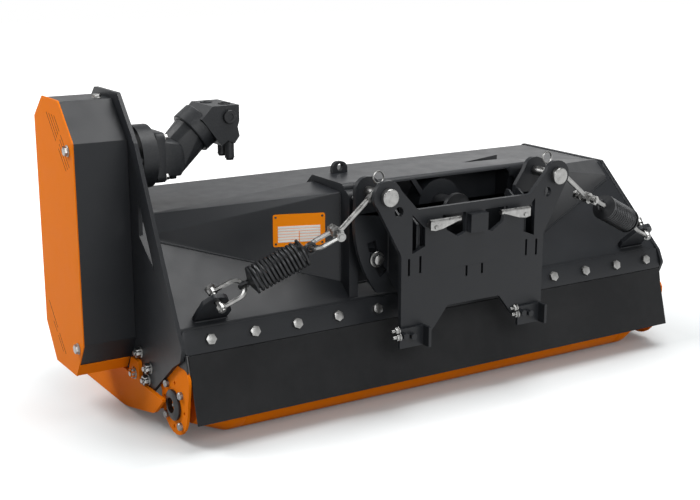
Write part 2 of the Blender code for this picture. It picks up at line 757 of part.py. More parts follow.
def skid(name, side):
    """A web on the side plate's outer face, on a sole whose front end curves up."""
    inside, outside = side * (half_width + GAP), side * (half_width + GAP + SKID_THICK)
    path = rounded([(0.068, 0.086), (0.120, 0.040, 0.060), (0.300, 0.0, 0.300), (0.600, 0.0, 0.060),
                    (0.640, 0.024)], steps=4, closed=False)
    low, high = sorted((side * (half_width - SOLE_IN), side * (half_width + GAP + SKID_THICK - 0.0004)))
    sole = folded("sole", path, -SOLE_THICK, low, high)
    edge = half_width + GAP + 0.001
    notch = block("notch", sorted_low((0, 0.050, -0.01), (side * edge, 0.165, 0.12)),
                  sorted_high((0, 0.050, -0.01), (side * edge, 0.165, 0.12)))
    sole = cut(sole, notch)
    sunk = [p + Vector((0, SOLE_THICK * 0.6)) for p in path]
    outline = sunk[:-1] + rounded([(0.622, 0.060), (0.610, 0.098, 0.012), (0.272, 0.100), (0.252, 0.145, 0.010),
                                   (0.207, 0.145, 0.010), (0.200, 0.0915)], closed=False)[1:]
    web = plate(name, outline, [], min(inside, outside), max(inside, outside), "X")
    nuts = [hex_head(f"nut_{i}", (outside, *place), (side, 0, 0), 0.012, 0.011)
            for i, place in enumerate(((0.232, 0.108), (0.560, 0.070)))]
    return fused(web, sole, *nuts)


# Motor

def motor_mount():
    """The adapter ring on four spacers that hold the motor clear of the side plate."""
    ring_low, ring_high = -inner + 0.050, -inner + 0.090
    ring = turned("motor_mount", [(0.079, 0.020), (0.079, -0.020), (0.040, -0.020), (0.040, 0.020)],
                  (1, 0, 0), ((ring_low + ring_high) / 2, *MOTOR_AXIS), FINE)
    spacers = [rod(f"spacer_{k}", (-inner + GAP, y, h), (ring_low + 0.004, y, h), 0.010)
               for k, (y, h) in enumerate(circle(MOTOR_AXIS, 0.064, 4))]
    return fused(ring, *spacers)


def motor_bend():
    """The motor's flange place, the bend in its axis, and the tilted axis."""
    flange = -inner + 0.090 + GAP
    knee = Vector((-0.592, *MOTOR_AXIS))
    tilt = Vector((math.cos(math.radians(37)), 0, math.sin(math.radians(37))))
    return flange, knee, tilt


def motor_housing():
    flange, knee, tilt = motor_bend()
    centre_y, centre_h = MOTOR_AXIS
    corner = 0.062
    square = rounded([(centre_y + a * corner, centre_h + b * corner, 0.016)
                      for a, b in ((-1, -1), (1, -1), (1, 1), (-1, 1))], 3)
    base = plate("motor_housing", square, [], flange, flange + 0.024, "X")
    neck = turned("neck", [(0, knee.x + 0.012), (0.050, knee.x + 0.012), (0.057, knee.x - 0.02),
                           (0.057, flange + 0.020), (0, flange + 0.020)], (1, 0, 0), (0, *MOTOR_AXIS), ROUND)
    barrel = turned("barrel", [(0, 0.104), (0.062, 0.104), (0.068, 0.098), (0.068, 0.060), (0.064, 0.055),
                               (0.058, 0.050), (0.057, -0.006), (0, -0.020)],
                    tilt, knee, ROUND)
    saddle = ball(knee, 0.0565)
    drain = rod("drain", (knee.x - 0.004, centre_y - 0.01, centre_h - 0.045),
                (knee.x - 0.004, centre_y - 0.01, centre_h - 0.071), 0.015, 6)
    return fused(base, neck, barrel, saddle, drain)


def ball(centre, radius):
    work = bmesh.new()
    bmesh.ops.create_uvsphere(work, u_segments=16, v_segments=10, radius=radius)
    mesh = bpy.data.meshes.new("ball")
    work.to_mesh(mesh)
    work.free()
    mesh.transform(Matrix.Translation(centre))
    return new_object("ball", mesh)


def motor_port_block():
    """The block with the hose ports, bolted on the barrel's end."""
    _, knee, tilt = motor_bend()
    end = knee + tilt * (0.104 + GAP)
    up = Vector((-tilt.z, 0, tilt.x))
    low, high, roof = end - up * 0.058, end + up * 0.030, BLOCK_TOP
    outline = [(p.x, p.z) for p in (low, low + tilt * 0.022)]
    outline += [(-0.438, 0.634), (-0.424, 0.652), (-0.429, 0.676), (-0.424, 0.690), (-0.424, roof),
                (-0.497, roof), (high.x, high.z)]
    front, back = MOTOR_AXIS[0] - 0.062, MOTOR_AXIS[0] + 0.062
    piece = plate("motor_port_block", [Vector(p) for p in outline], [], front, back, "Y")
    ports = [rod(f"port_{k}", (-0.474 + 0.027 * k, y, roof - 0.016), (-0.474 + 0.027 * k, y, roof + 0.02), 0.0105)
             for k, y in enumerate((MOTOR_AXIS[0] + 0.024, MOTOR_AXIS[0] - 0.024))]
    piece = cut(piece, *ports)
    plug = rod("plug", (-0.453, front + 0.004, roof - 0.028), (-0.453, front - 0.007, roof - 0.028), 0.0165, 16)
    lower = [rod(f"lower_{k}", (x, y, 0.650), (x, y, h), r)
             for k, (x, y, h, r) in enumerate(((-0.456, 0.345, 0.606, 0.010), (-0.445, 0.322, 0.598, 0.012)))]
    return fused(piece, plug, *lower)


def pulley(name, axis_at, shaft_from, shaft_to, bore):
    """A flanged pulley. With no bore it is one piece with its shaft."""
    outer = -half_width - CASE_DEPTH + 0.025
    end = outer + PULLEY_WIDTH
    rim, face = PULLEY_RIM, PULLEY_RADIUS
    band = [(rim, outer), (rim, outer + RIM_THICK), (face, outer + RIM_THICK + 0.002),
            (face, end - RIM_THICK - 0.002), (rim, end - RIM_THICK), (rim, end)]
    if bore:
        profile = [(bore, outer), *band, (bore, end)]
    else:
        profile = [(0, shaft_from), (MOTOR_SHAFT_RADIUS, shaft_from), (MOTOR_SHAFT_RADIUS, outer), *band,
                   (MOTOR_SHAFT_RADIUS, end), (MOTOR_SHAFT_RADIUS, shaft_to), (0, shaft_to)]
    profile = [(r, -x) for r, x in profile]
    return turned(name, profile, (-1, 0, 0), (0, *axis_at), FINE)


def drive_belt():
    """The flat belt round both pulleys, between their rims."""
    outer = -half_width - CASE_DEPTH + 0.025 + RIM_THICK + 0.0035
    end = outer + PULLEY_WIDTH - 2 * (RIM_THICK + 0.0035)
    loops = []
    for radius in (PULLEY_RADIUS + GAP + BELT_THICK, PULLEY_RADIUS + GAP):
        corner = radius / math.cos(math.pi / FINE) if radius < PULLEY_RADIUS + BELT_THICK else radius
        loops.append(arc(MOTOR_AXIS, corner, 0, 180, FINE // 2) + arc(ROTOR_AXIS, corner, 180, 360, FINE // 2))
    return plate("drive_belt", loops[0], [loops[1]], outer, end, "X")


def rotor_bearing(name, side):
    """A flanged bearing housing on the outer face of a side plate."""
    bore = bore_radius(SHAFT_RADIUS, ROUND)
    profile = [(bore, 0.024), (0.050, 0.024), (0.056, 0.018), (0.056, 0.012), (0.072, 0.010), (0.072, 0), (bore, 0)]
    return turned(name, profile, (side, 0, 0), (side * (half_width + GAP), *ROTOR_AXIS), ROUND)


def rotor_drum():
    """The drum with its fixed teeth on two helices, and the shaft through it."""
    end = DRUM_WIDTH / 2
    left, right = -half_width - CASE_DEPTH + 0.022, half_width + GAP + 0.022
    profile = [(0, right), (SHAFT_RADIUS, right), (SHAFT_RADIUS, end), (DRUM_RADIUS, end),
               (DRUM_RADIUS, -end), (SHAFT_RADIUS, -end), (SHAFT_RADIUS, left), (0, left)]
    drum = turned("rotor_drum", profile, (1, 0, 0), (0, *ROTOR_AXIS), ROUND)
    outline = [Vector(p) for p in ((-TOOTH_DEPTH * 0.7, DRUM_RADIUS * 0.90), (TOOTH_DEPTH * 0.5, DRUM_RADIUS * 0.90),
                                   (TOOTH_DEPTH * 0.5, TOOTH_TIP), (TOOTH_DEPTH * 0.2, TOOTH_TIP * 0.985),
                                   (-TOOTH_DEPTH * 0.25, DRUM_RADIUS + 0.028))]
    step = (DRUM_WIDTH - 2 * 0.045) / (TOOTH_COUNT - 1)
    rows = []
    for k in range(TOOTH_COUNT):
        x = -end + 0.045 + step * k
        tooth = plate(f"tooth_{k}", outline, [], x - TOOTH_WIDTH / 2, x + TOOTH_WIDTH / 2, "X")
        angle = math.radians(180 * (k % 2) + 30 * (k // 2))
        tooth.data.transform(Matrix.Translation((0, *ROTOR_AXIS)) @ Matrix.Rotation(angle, 4, "X"))
        rows.append(tooth)
    return fused(drum, *rows)


# Hitch

def hitch_plate():
    """The front plate with its pin arms, legs, windows, tab slots and centre block."""
    top, high = PIN_HEIGHT - 0.039, PIN_HEIGHT
    half = rounded([(0.0, 0.262), (leg - 0.138, 0.262, 0.010), (leg - 0.100, 0.214, 0.006), (leg - 0.086, LEG_FOOT),
                    (leg, LEG_FOOT, 0.008), (leg, high - 0.147, 0.030), (pin_x + 0.029, high - 0.023)], 3, closed=False)
    half += arc((pin_x, high), ARM_RADIUS, -20, 162, 10)
    half += rounded([(pin_x - ARM_RADIUS * 0.96, high + 0.012), (pin_x - 0.085, top, 0.012), (0.0, top)],
                    3, closed=False)[1:-1]
    outline = [Vector((0.0, 0.262))] + half[1:] + [Vector((-p.x, p.y)) for p in reversed(half[1:])]
    holes = []
    for side in (-1, 1):
        holes.append(circle((side * pin_x, high), bore_radius(PIN_RADIUS, ROUND, GAP), ROUND))
        holes.append(circle((side * (pin_x - 0.031), top), 0.0125, 12))
        outer = ((leg - 0.031, -0.051), (leg - 0.068, -0.087), (leg - 0.068, -0.131), (leg - 0.031, -0.146))
        window = ((0.030, -0.061), (0.100, -0.061), (0.086, -0.099), (0.052, -0.119), (0.030, -0.111))
        holes += [[Vector((side * a, high + b)) for a, b in shape] for shape in (outer, window)]
        for a, low, up in ((leg - 0.022, -0.199, -0.157), (leg - 0.055, -0.196, -0.154), (0.024, -0.223, -0.1965)):
            holes.append([Vector((side * a + d, high + b))
                          for d, b in ((-0.003, low), (0.003, low), (0.003, up), (-0.003, up))])
    piece = plate("hitch_plate", outline, holes, HITCH_FRONT, hitch_back, "Y")
    tower = block("tower", (-0.026, HITCH_FRONT - 0.018, high - 0.111), (0.026, HITCH_FRONT + 0.004, high - 0.065))
    return fused(piece, tower)


def slot_outline(side):
    """One curved slot for a guide stud, as long as the swing needs."""
    spare = SWING_RANGE + 3.5
    start, end = 360 - GUIDE_ANGLE - spare, 360 - GUIDE_ANGLE + spare
    wide = GUIDE_BOLT + 0.002
    centre = (0, SWING_CENTRE)
    ring = arc(centre, GUIDE_RADIUS + wide, start, end, 6) + arc(centre, GUIDE_RADIUS - wide, end, start, 6)
    return [Vector((side * p.x, p.y)) for p in ring]


def swing_plate():
    """The plate behind the hitch that turns on the pivot, with its ears and curved slots."""
    floor = 0.212
    lean = math.radians(SWING_RANGE)
    meet = math.degrees(math.acos(floor / SWING_RADIUS)) + SWING_RANGE
    low = SWING_CENTRE - floor / math.cos(lean)
    half = [Vector((0.0, low))] + arc((0, SWING_CENTRE), SWING_RADIUS, -90 + meet, 8, 10)
    half += arc((pin_x, PIN_HEIGHT), ARM_RADIUS * 0.92, 0, 170, 8)
    half += rounded([(pin_x - ARM_RADIUS * 0.92, PIN_HEIGHT), (pin_x - 0.067, SWING_TOP, 0.012), (0.0, SWING_TOP)],
                    3, closed=False)[1:-1]
    outline = half + [Vector((-p.x, p.y)) for p in reversed(half[1:])]
    holes = [circle((0, SWING_CENTRE), bore_radius(PIVOT_RADIUS, ROUND), ROUND)]
    for side in (-1, 1):
        holes.append(slot_outline(side))
        holes.append(circle((side * pin_x, PIN_HEIGHT), bore_radius(PIN_RADIUS, ROUND, GAP), ROUND))
    return plate("swing_plate", outline, holes, swing_front, SWING_BACK, "Y")


def hitch_rib(name, x):
    """An upright rib between the hitch plate and the swing plate, with a sloped top."""
    front, back = hitch_back + GAP, swing_front - GAP
    top = PIN_HEIGHT - 0.039
    outline = [Vector(p) for p in ((front, top - 0.212), (front + 0.020, top - 0.222), (back, top - 0.182),
                                   (back, top), (back - 0.012, top), (front, top - 0.040))]
    return plate(name, outline, [], x - RIB_THICK / 2, x + RIB_THICK / 2, "X")


def hook_insert(name, side):
    """A bright wear piece with a rolled top edge and a tail that points inwards."""
    front, top = HITCH_FRONT - 0.026, PIN_HEIGHT - 0.067
    outline = [Vector((side * a, top + b)) for a, b in ((0.152, 0.0), (0.152, -0.020), (0.138, -0.023), (0.116, -0.020),
                                                        (0.062, -0.003), (0.062, 0.0))]
    face = plate(name, outline, [], front, front + 0.006, "Y")
    roll = rod("roll", (side * 0.062, front + 0.006, top - 0.002), (side * 0.152, front + 0.006, top - 0.002), 0.0065)
    ends = (side * 0.112, front + 0.002, top - 0.018), (side * 0.146, HITCH_FRONT - GAP, top - 0.008)
    foot = block("foot", sorted_low(*ends), sorted_high(*ends))
    bolt = hex_head("bolt", (side * 0.136, front, top - 0.0145), (0, -1, 0), 0.005, 0.003, 0.002)
    return fused(face, roll, foot, bolt)


def sorted_low(a, b):
    return tuple(min(p, q) for p, q in zip(a, b))


def sorted_high(a, b):
    return tuple(max(p, q) for p, q in zip(a, b))


def coupler_pin(name, side):
    """A headed pin through the hitch plate, the rod's eye and the swing plate's ear."""
    x = side * pin_x
    head = HITCH_FRONT - GAP
    profile = [(0, -head + 0.015), (PIN_HEAD - 0.002, -head + 0.015), (PIN_HEAD, -head + 0.013), (PIN_HEAD, -head),
               (PIN_RADIUS, -head), (PIN_RADIUS, -(SWING_BACK + 0.008)), (0, -(SWING_BACK + 0.008))]
    pin = turned(name, profile, (0, -1, 0), (x, 0, PIN_HEIGHT))
    hole = rod("hole", (x, LYNCH_LAYER, PIN_HEIGHT - 0.03), (x, LYNCH_LAYER, PIN_HEIGHT + 0.03),
               bore_radius(0.003, 8, GAP), 8)
    return cut(pin, hole)


def lynch_pin(name, side):
    """The ring pin that locks a coupler pin, standing up behind the arm."""
    x = side * pin_x
    stem = rod(name, (x, LYNCH_LAYER, PIN_HEIGHT - 0.018), (x, LYNCH_LAYER, PIN_HEIGHT + 0.027), 0.003, 8)
    centre = Vector((x, LYNCH_LAYER, PIN_HEIGHT + 0.0405))
    loop = ring_about("loop", centre, (0, 1, 0.0), 0.0145, 0.0022, 14)
    return fused(stem, loop)


def lock_bracket(name, centre_x):
    """The angle with two nuts that locks the coupler at the foot of a leg."""
    front = HITCH_FRONT - GAP
    outline = [Vector((centre_x + a, front + b)) for a, b in ((-0.046, 0), (-0.046, -0.008), (0.022, -0.008),
                                                              (0.022, -0.032), (0.030, -0.032), (0.030, 0))]
    angle = plate(name, outline, [], LEG_FOOT - 0.024, LEG_FOOT + 0.026, "Z")
    nuts = [hex_head(f"nut_{k}", (centre_x - 0.034 + 0.023 * k, front - 0.008, LEG_FOOT + 0.009 - 0.004 * k),
                     (0, -1, 0), 0.009, 0.012) for k in range(2)]
    return fused(angle, *nuts)


# Springs

def across_chain(side):
    """The chain's line on one side: its start, its direction, its length, and the two pin directions."""
    flip = Matrix.Diagonal((-side, 1, 1))
    start, end = flip @ LUG_PIN, flip @ ROD_PIN
    along = (end - start).normalized()
    deck = Vector((0, slope.x, slope.y))
    upper = Vector((0, 1, 0)) - along * along.y
    return start, along, (end - start).length, (deck - along * along.dot(deck)).normalized(), upper.normalized()


def shackle(name, pin_at, along, across):
    """A bow of round bar on a headed pin. The pin crosses the bow's open end."""
    bend = SHACKLE_LONG - SHACKLE_HALF
    points = [pin_at + across * SHACKLE_HALF - along * 0.004]
    points += [pin_at + along * (bend + SHACKLE_HALF * math.sin(t)) + across * (SHACKLE_HALF * math.cos(t))
               for t in (math.pi * k / 10 for k in range(11))]
    points += [pin_at - across * SHACKLE_HALF - along * 0.004]
    bow = wire(name, points, SHACKLE_WIRE)
    pin = rod("pin", pin_at - across * 0.034, pin_at + across * 0.036, SHACKLE_PIN)
    bosses = [rod(f"boss_{k}", pin_at + across * (k * SHACKLE_HALF - 0.0055), pin_at + across * (k * SHACKLE_HALF + 0.0055),
                  0.0110) for k in (-1, 1)]
    head = rod("head", pin_at + across * 0.030, pin_at + across * 0.038, 0.0125, 6)
    return fused(bow, pin, *bosses, head)


def plug(name, eye_at, along, across):
    """The spring's end piece: an eye, a cone, a collar and a core that fits inside the coil."""
    eye = ring_about("eye", eye_at, across, EYE_RING, EYE_WIRE)
    start = eye_at + along * (EYE_RING - 0.001)
    collar = PLUG_CONE + PLUG_COLLAR
    profile = [(0, collar + 0.012), (SPRING_CORE, collar + 0.012), (SPRING_CORE, collar),
               (SPRING_RADIUS + SPRING_WIRE, collar), (SPRING_RADIUS + SPRING_WIRE, collar - PLUG_COLLAR),
               (0.0075, 0), (0, 0)]
    core = turned(name, profile, along, start, 20)
    return fused(core, eye)


def spring_ends(side):
    """Distances along the chain: both eyes, and the faces that the coil stands between."""
    _, _, length, _, _ = across_chain(side)
    reach = EYE_RING - 0.001 + PLUG_CONE + PLUG_COLLAR + GAP
    hung = EYE_RING - EYE_WIRE - SHACKLE_WIRE - GAP
    low, high = SHACKLE_LONG + hung, length - SHACKLE_LONG - hung
    return low, high, low + reach, high - reach


def spring_coil(name, side):
    """One unbroken tube: straight for a tube diameter at each end, and coiled between."""
    start, along, _, across, _ = across_chain(side)
    _, _, low, high = spring_ends(side)
    other = along.cross(across)
    run = 2 * SPRING_WIRE
    rise = high - low - 2 * run
    count = SPRING_TURNS * 9
    points = [start + along * low + across * SPRING_RADIUS]
    for k in range(count + 1):
        turn = 2 * math.pi * SPRING_TURNS * k / count
        height = low + run + rise * k / count
        points.append(start + along * height + across * (SPRING_RADIUS * math.cos(turn))
                      + other * (SPRING_RADIUS * math.sin(turn)))
    points.append(start + along * high + across * SPRING_RADIUS)
    free = min((points[i] - points[j]).length for i in range(len(points)) for j in range(i + 6, min(i + 14, len(points))))
    print(f"{name}: least gap to itself {1000 * (free - 2 * SPRING_WIRE):.2f} mm")
    return wire(name, points, SPRING_WIRE)


def tension_rod(name, side):
    """The rod from the upper shackle to the coupler pin: an eye, a nut and a rolled hook."""
    _, _, _, _, upper = across_chain(side)
    flip = Matrix.Diagonal((-side, 1, 1))
    start = flip @ ROD_PIN
    hook = Vector((side * pin_x, EYE_LAYER, PIN_HEIGHT))
    aim = Vector((abs(hook.x - start.x), hook.z - start.z))
    angle = math.atan2(aim.y, aim.x) + math.asin(HOOK_RING / aim.length)
    direction = Vector((-side * math.cos(angle), 0, math.sin(angle)))
    long = math.sqrt(aim.length ** 2 - HOOK_RING ** 2)
    bar = rod(name, start + direction * 0.009, start + direction * (long + 0.003), ROD_RADIUS)
    bore = bore_radius(SHACKLE_PIN, SMALL)
    eye = turned("eye", [(0.0145, 0.008), (0.0145, -0.008), (bore, -0.008), (bore, 0.008)], upper, start, SMALL)
    nut = rod("nut", start + direction * 0.106, start + direction * 0.119, 0.0097, 6)
    ring = ring_about("hook", hook, (0, 1, 0), HOOK_RING, ROD_RADIUS, 20)
    return fused(bar, eye, nut, ring)


# Assembly

clear_scene()
parts = collection("excavator_mulcher")

paint = material("black_paint", (0.030, 0.033, 0.037), 0.45)
orange = material("orange_paint", (0.67, 0.165, 0.020), 0.42)
zinc = material("zinc_plate", (0.72, 0.72, 0.70), 0.28, 1.0)
steel = material("dark_steel", (0.090, 0.095, 0.100), 0.42, 0.8)
rubber = material("rubber", (0.020, 0.020, 0.021), 0.75)
cast = material("cast_housing", (0.055, 0.060, 0.065), 0.50)
sheet = material("plate_orange", (0.72, 0.24, 0.030), 0.40)

root = bpy.data.objects.new("machine", None)
root.location = (0, -HITCH_FRONT, -0.300)
bpy.context.scene.collection.objects.link(root)

lip_foot = Vector(LIP_END) + lip_out * (GAP + STRIP_THICK / 2) + lip * (GAP + FLAP_THICK / 2)
rear_hinge = (0, *lip_foot)
front_hinge = (0, NOSE_Y + GAP + STRIP_THICK / 2, FRONT_STRIP_TOP - FRONT_STRIP_WIDE - GAP - FLAP_THICK / 2)
lug_left, lug_right = LUG_PIN, Vector((-LUG_PIN.x, LUG_PIN.y, LUG_PIN.z))


def carrier(name, at):
    return {"empty": body(name, at, root), "at": at}


hood = carrier("hood", (0, 0, 0))
hitch = carrier("hitch", (0, 0, SWING_CENTRE))
lower_left, lower_right = carrier("spring_lower_left", lug_left), carrier("spring_lower_right", lug_right)
upper_left, upper_right = carrier("spring_upper_left", lug_left), carrier("spring_upper_right", lug_right)
rotor_body = carrier("rotor", (0, *ROTOR_AXIS))
motor_body = carrier("motor_drive", (0, *MOTOR_AXIS))
roller_body = carrier("roller_body", (0, *ROLLER_AXIS))
rear_body, front_body = carrier("rear_flap_body", rear_hinge), carrier("front_flap_body", front_hinge)

for made, finish in ((hood_shell(), paint), (side_plate_left(), paint), (side_plate_right(), paint),
                     (belt_case_shell(), paint), (belt_case_cover(), orange), (rear_clamp_strip(), paint),
                     (front_clamp_strip(), paint), (counter_knife(), steel), (hitch_beam(), paint),
                     (data_plate(), sheet), (lifting_eye(), paint), (pivot_pin(), zinc),
                     (motor_mount(), cast), (motor_housing(), cast), (motor_port_block(), cast),
                     (drive_belt(), rubber)):
    seated(made, finish, hood)

for label, side in (("left", -1), ("right", 1)):
    seated(shoulder(f"shoulder_{label}", side), paint, hood)
    seated(spring_lug(f"spring_lug_{label}", side), paint, hood)
    seated(roller_bracket(f"roller_bracket_{label}", side), orange, hood)
    seated(roller_hub(f"roller_hub_{label}", side), steel, hood)
    seated(skid(f"skid_{label}", side), orange, hood)
    seated(rotor_bearing(f"rotor_bearing_{label}", side), cast, hood)

seated(flap("rear_flap", rear_hinge, REAR_FLAP_LEAN, REAR_FLAP), rubber, rear_body)
seated(flap("front_flap", front_hinge, 0, FRONT_FLAP), rubber, front_body)
seated(roller(), orange, roller_body)
seated(rotor_drum(), steel, rotor_body)
seated(pulley("rotor_pulley", ROTOR_AXIS, 0, 0, bore_radius(SHAFT_RADIUS, FINE, GAP)), steel, rotor_body)
seated(pulley("motor_pulley", MOTOR_AXIS, -half_width - CASE_DEPTH + 0.015, -inner + 0.088, 0), steel, motor_body)

seated(hitch_plate(), paint, hitch)
seated(swing_plate(), paint, hitch)
for label, side in (("left", -1), ("right", 1)):
    for place, x in zip(("inner", "outer"), RIB_PLACES):
        seated(hitch_rib(f"hitch_rib_{place}_{label}", side * x), paint, hitch)
    seated(hook_insert(f"hook_insert_{label}", side), zinc, hitch)
    seated(coupler_pin(f"coupler_pin_{label}", side), zinc, hitch)
    seated(lynch_pin(f"lynch_pin_{label}", side), zinc, hitch)
seated(lock_bracket("lock_bracket_left", 0.038 - leg), paint, hitch)
seated(lock_bracket("lock_bracket_right", leg - 0.036), paint, hitch)

for label, side, low_body, high_body in (("left", -1, lower_left, upper_left), ("right", 1, lower_right, upper_right)):
    start, along, length, across, upper = across_chain(side)
    low_eye, high_eye, _, _ = spring_ends(side)
    seated(shackle(f"lower_shackle_{label}", start, along, across), zinc, low_body)
    seated(plug(f"lower_plug_{label}", start + along * low_eye, along, across), steel, low_body)
    seated(spring_coil(f"spring_{label}", side), steel, low_body)
    seated(plug(f"upper_plug_{label}", start + along * high_eye, -along, upper), steel, high_body)
    seated(shackle(f"upper_shackle_{label}", start + along * length, -along, upper), zinc, high_body)
    seated(tension_rod(f"tension_rod_{label}", side), zinc, high_body)
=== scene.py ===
import json
import math

import bmesh
import bpy
from mathutils import Matrix, Vector
from mathutils.bvhtree import BVHTree
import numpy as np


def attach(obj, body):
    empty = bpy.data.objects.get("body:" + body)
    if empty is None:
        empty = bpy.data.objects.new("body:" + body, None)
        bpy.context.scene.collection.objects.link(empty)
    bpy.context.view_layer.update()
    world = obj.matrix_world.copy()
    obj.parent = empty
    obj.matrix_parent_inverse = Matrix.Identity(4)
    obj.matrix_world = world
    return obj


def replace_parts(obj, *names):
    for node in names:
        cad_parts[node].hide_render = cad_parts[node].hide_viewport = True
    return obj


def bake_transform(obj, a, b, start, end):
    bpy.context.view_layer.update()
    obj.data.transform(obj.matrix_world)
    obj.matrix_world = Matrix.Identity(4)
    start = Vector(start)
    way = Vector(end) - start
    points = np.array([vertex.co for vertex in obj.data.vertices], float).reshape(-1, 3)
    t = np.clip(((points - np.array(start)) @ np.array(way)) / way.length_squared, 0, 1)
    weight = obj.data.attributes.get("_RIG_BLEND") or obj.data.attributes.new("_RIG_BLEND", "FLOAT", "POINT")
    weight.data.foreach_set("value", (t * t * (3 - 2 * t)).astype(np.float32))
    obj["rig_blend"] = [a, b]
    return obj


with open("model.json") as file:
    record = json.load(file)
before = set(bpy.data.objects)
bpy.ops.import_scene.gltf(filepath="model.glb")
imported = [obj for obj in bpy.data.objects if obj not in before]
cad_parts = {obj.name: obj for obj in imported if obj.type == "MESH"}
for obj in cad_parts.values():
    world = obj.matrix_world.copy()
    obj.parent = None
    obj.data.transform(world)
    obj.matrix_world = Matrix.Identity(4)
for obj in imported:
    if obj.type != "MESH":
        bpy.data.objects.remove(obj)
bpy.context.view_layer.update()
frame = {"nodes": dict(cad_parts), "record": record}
print("frame loaded")

bodies = frame["record"]["behaviour"]["bodies"]
bodyOf = {node: name for name, nodes in bodies.items() for node in nodes}
origin = {"y": 0.12, "h": -0.30}  # the place in the frame of the drawing's own origin, on the ground line


def place(x, y, h):  # x across, y to the far side, h up from the ground line
    return Vector((x, y + origin["y"], h + origin["h"]))


# shader maths

class Value:  # wraps a socket, so that sums on it read as sums
    def __init__(self, paint, socket):
        self.paint, self.socket = paint, socket

    def maths(self, operation, first, second):
        return self.paint.node("ShaderNodeMath", {"operation": operation}, {0: first, 1: second})

    def __add__(self, other):
        return self.maths("ADD", self, other)

    def __sub__(self, other):
        return self.maths("SUBTRACT", self, other)

    def __rsub__(self, other):
        return self.maths("SUBTRACT", other, self)

    def __mul__(self, other):
        return self.maths("MULTIPLY", self, other)

    __radd__ = __add__
    __rmul__ = __mul__

    def held(self):  # kept between 0 and 1
        kept = self.maths("ADD", self, 0.0)
        kept.socket.node.use_clamp = True
        return kept


def span(value, start, end):  # 0 at the start, 1 at the end and held there
    return ((value - start) * (1 / (end - start))).held()


class Finish:  # one material, or the sky, and the nodes that vary it
    def __init__(self, name, sky=None):
        self.material = sky or bpy.data.materials.new(name)
        self.material.use_nodes = True
        self.tree = self.material.node_tree
        self.shader = self.tree.nodes["Background" if sky else "Principled BSDF"]

    def node(self, kind, settings=None, sockets=None, output=0):
        made = self.tree.nodes.new(kind)
        for key, value in (settings or {}).items():
            if key == "stops":
                ramp = made.color_ramp
                while len(ramp.elements) < len(value):
                    ramp.elements.new(0.5)
                for stop, (where, shade) in zip(ramp.elements, value):
                    stop.position, stop.color = where, (shade, shade, shade, 1)
            else:
                setattr(made, key, value)
        for key, value in (sockets or {}).items():
            self.feed(made.inputs[key], value)
        return Value(self, made.outputs[output])

    def feed(self, socket, value):
        if isinstance(value, Value):
            self.tree.links.new(value.socket, socket)
        else:
            socket.default_value = value

    def set(self, values):  # by the names of the shader's sockets
        for key, value in values.items():
            self.feed(self.shader.inputs[key], value)

    def spots(self, stretch=(1, 1, 1)):  # object coordinates, stretched
        where = self.node("ShaderNodeTexCoord", output="Object")
        return self.node("ShaderNodeMapping", None, {"Vector": where, "Scale": stretch})

    def part(self, vector, axis):  # one of a vector's three parts
        return self.node("ShaderNodeSeparateXYZ", None, {0: vector}, axis)

    def noise(self, scale, detail, rough=0.5, stretch=(1, 1, 1)):
        return self.node("ShaderNodeTexNoise", None, {"Vector": self.spots(stretch), "Scale": scale,
                                                      "Detail": detail, "Roughness": rough})

    def ramp(self, value, dark, light):  # 0 up to the first level of the value, 1 from the second
        return self.node("ShaderNodeValToRGB", {"stops": [(dark, 0.0), (light, 1.0)]}, {0: value})

    def blend(self, factor, first, second):
        first, second = ((*shade, 1) for shade in (first, second))
        return self.node("ShaderNodeMix", {"data_type": "RGBA"}, {0: factor, 6: first, 7: second}, 2)

    def bump(self, height, strength, distance):
        sockets = {"Strength": strength, "Distance": distance, "Height": height}
        self.set({"Normal": self.node("ShaderNodeBump", None, sockets)})


# finishes

paints = {
    "blackPaint": {"colour": (0.0112, 0.0126, 0.0150), "pale": (0.0200, 0.0220, 0.0250), "rough": 0.40,
                   "specular": 0.28},
    "orangePaint": {"colour": (0.800, 0.188, 0.0036), "pale": (0.800, 0.206, 0.0072), "rough": 0.46,
                    "specular": 0.03},
    # the roller's orange is the body's orangePaint made lighter: painted light, standing in for the light
    # that falls on the roller
    "rollerOrangePaintedLight": {"colour": (0.960, 0.226, 0.0040), "pale": (0.960, 0.246, 0.0080), "rough": 0.46,
                     "specular": 0.03},
    "labelOrange": {"colour": (0.960, 0.268, 0.0060), "pale": (0.960, 0.288, 0.0100), "rough": 0.42,
                    "specular": 0.05},
    "labelWhite": {"colour": (0.860, 0.830, 0.780), "pale": (0.890, 0.860, 0.810), "rough": 0.42,
                   "specular": 0.20},
}
# a noise is given as its scale, detail and roughness, and a ramp as where it leaves 0 and where it meets 1
powder = {"cloud": (7.0, 5.0, 0.62), "cloudRamp": (0.34, 0.72), "speck": (160.0, 2.0),
          "speckRamp": (0.60, 0.78), "sheen": (26.0, 4.0), "peel": (420.0, 2.0), "wave": (60.0, 2.0),
          "clouded": 0.30, "specked": 0.10, "settled": 0.14, "level": 0.06, "fade": 2.2,  # dust
          "uneven": 0.14, "dulled": 0.10, "polished": 0.06,  # gloss
          "peeled": 0.8, "waved": 0.5, "relief": 0.16, "deep": 0.0009}


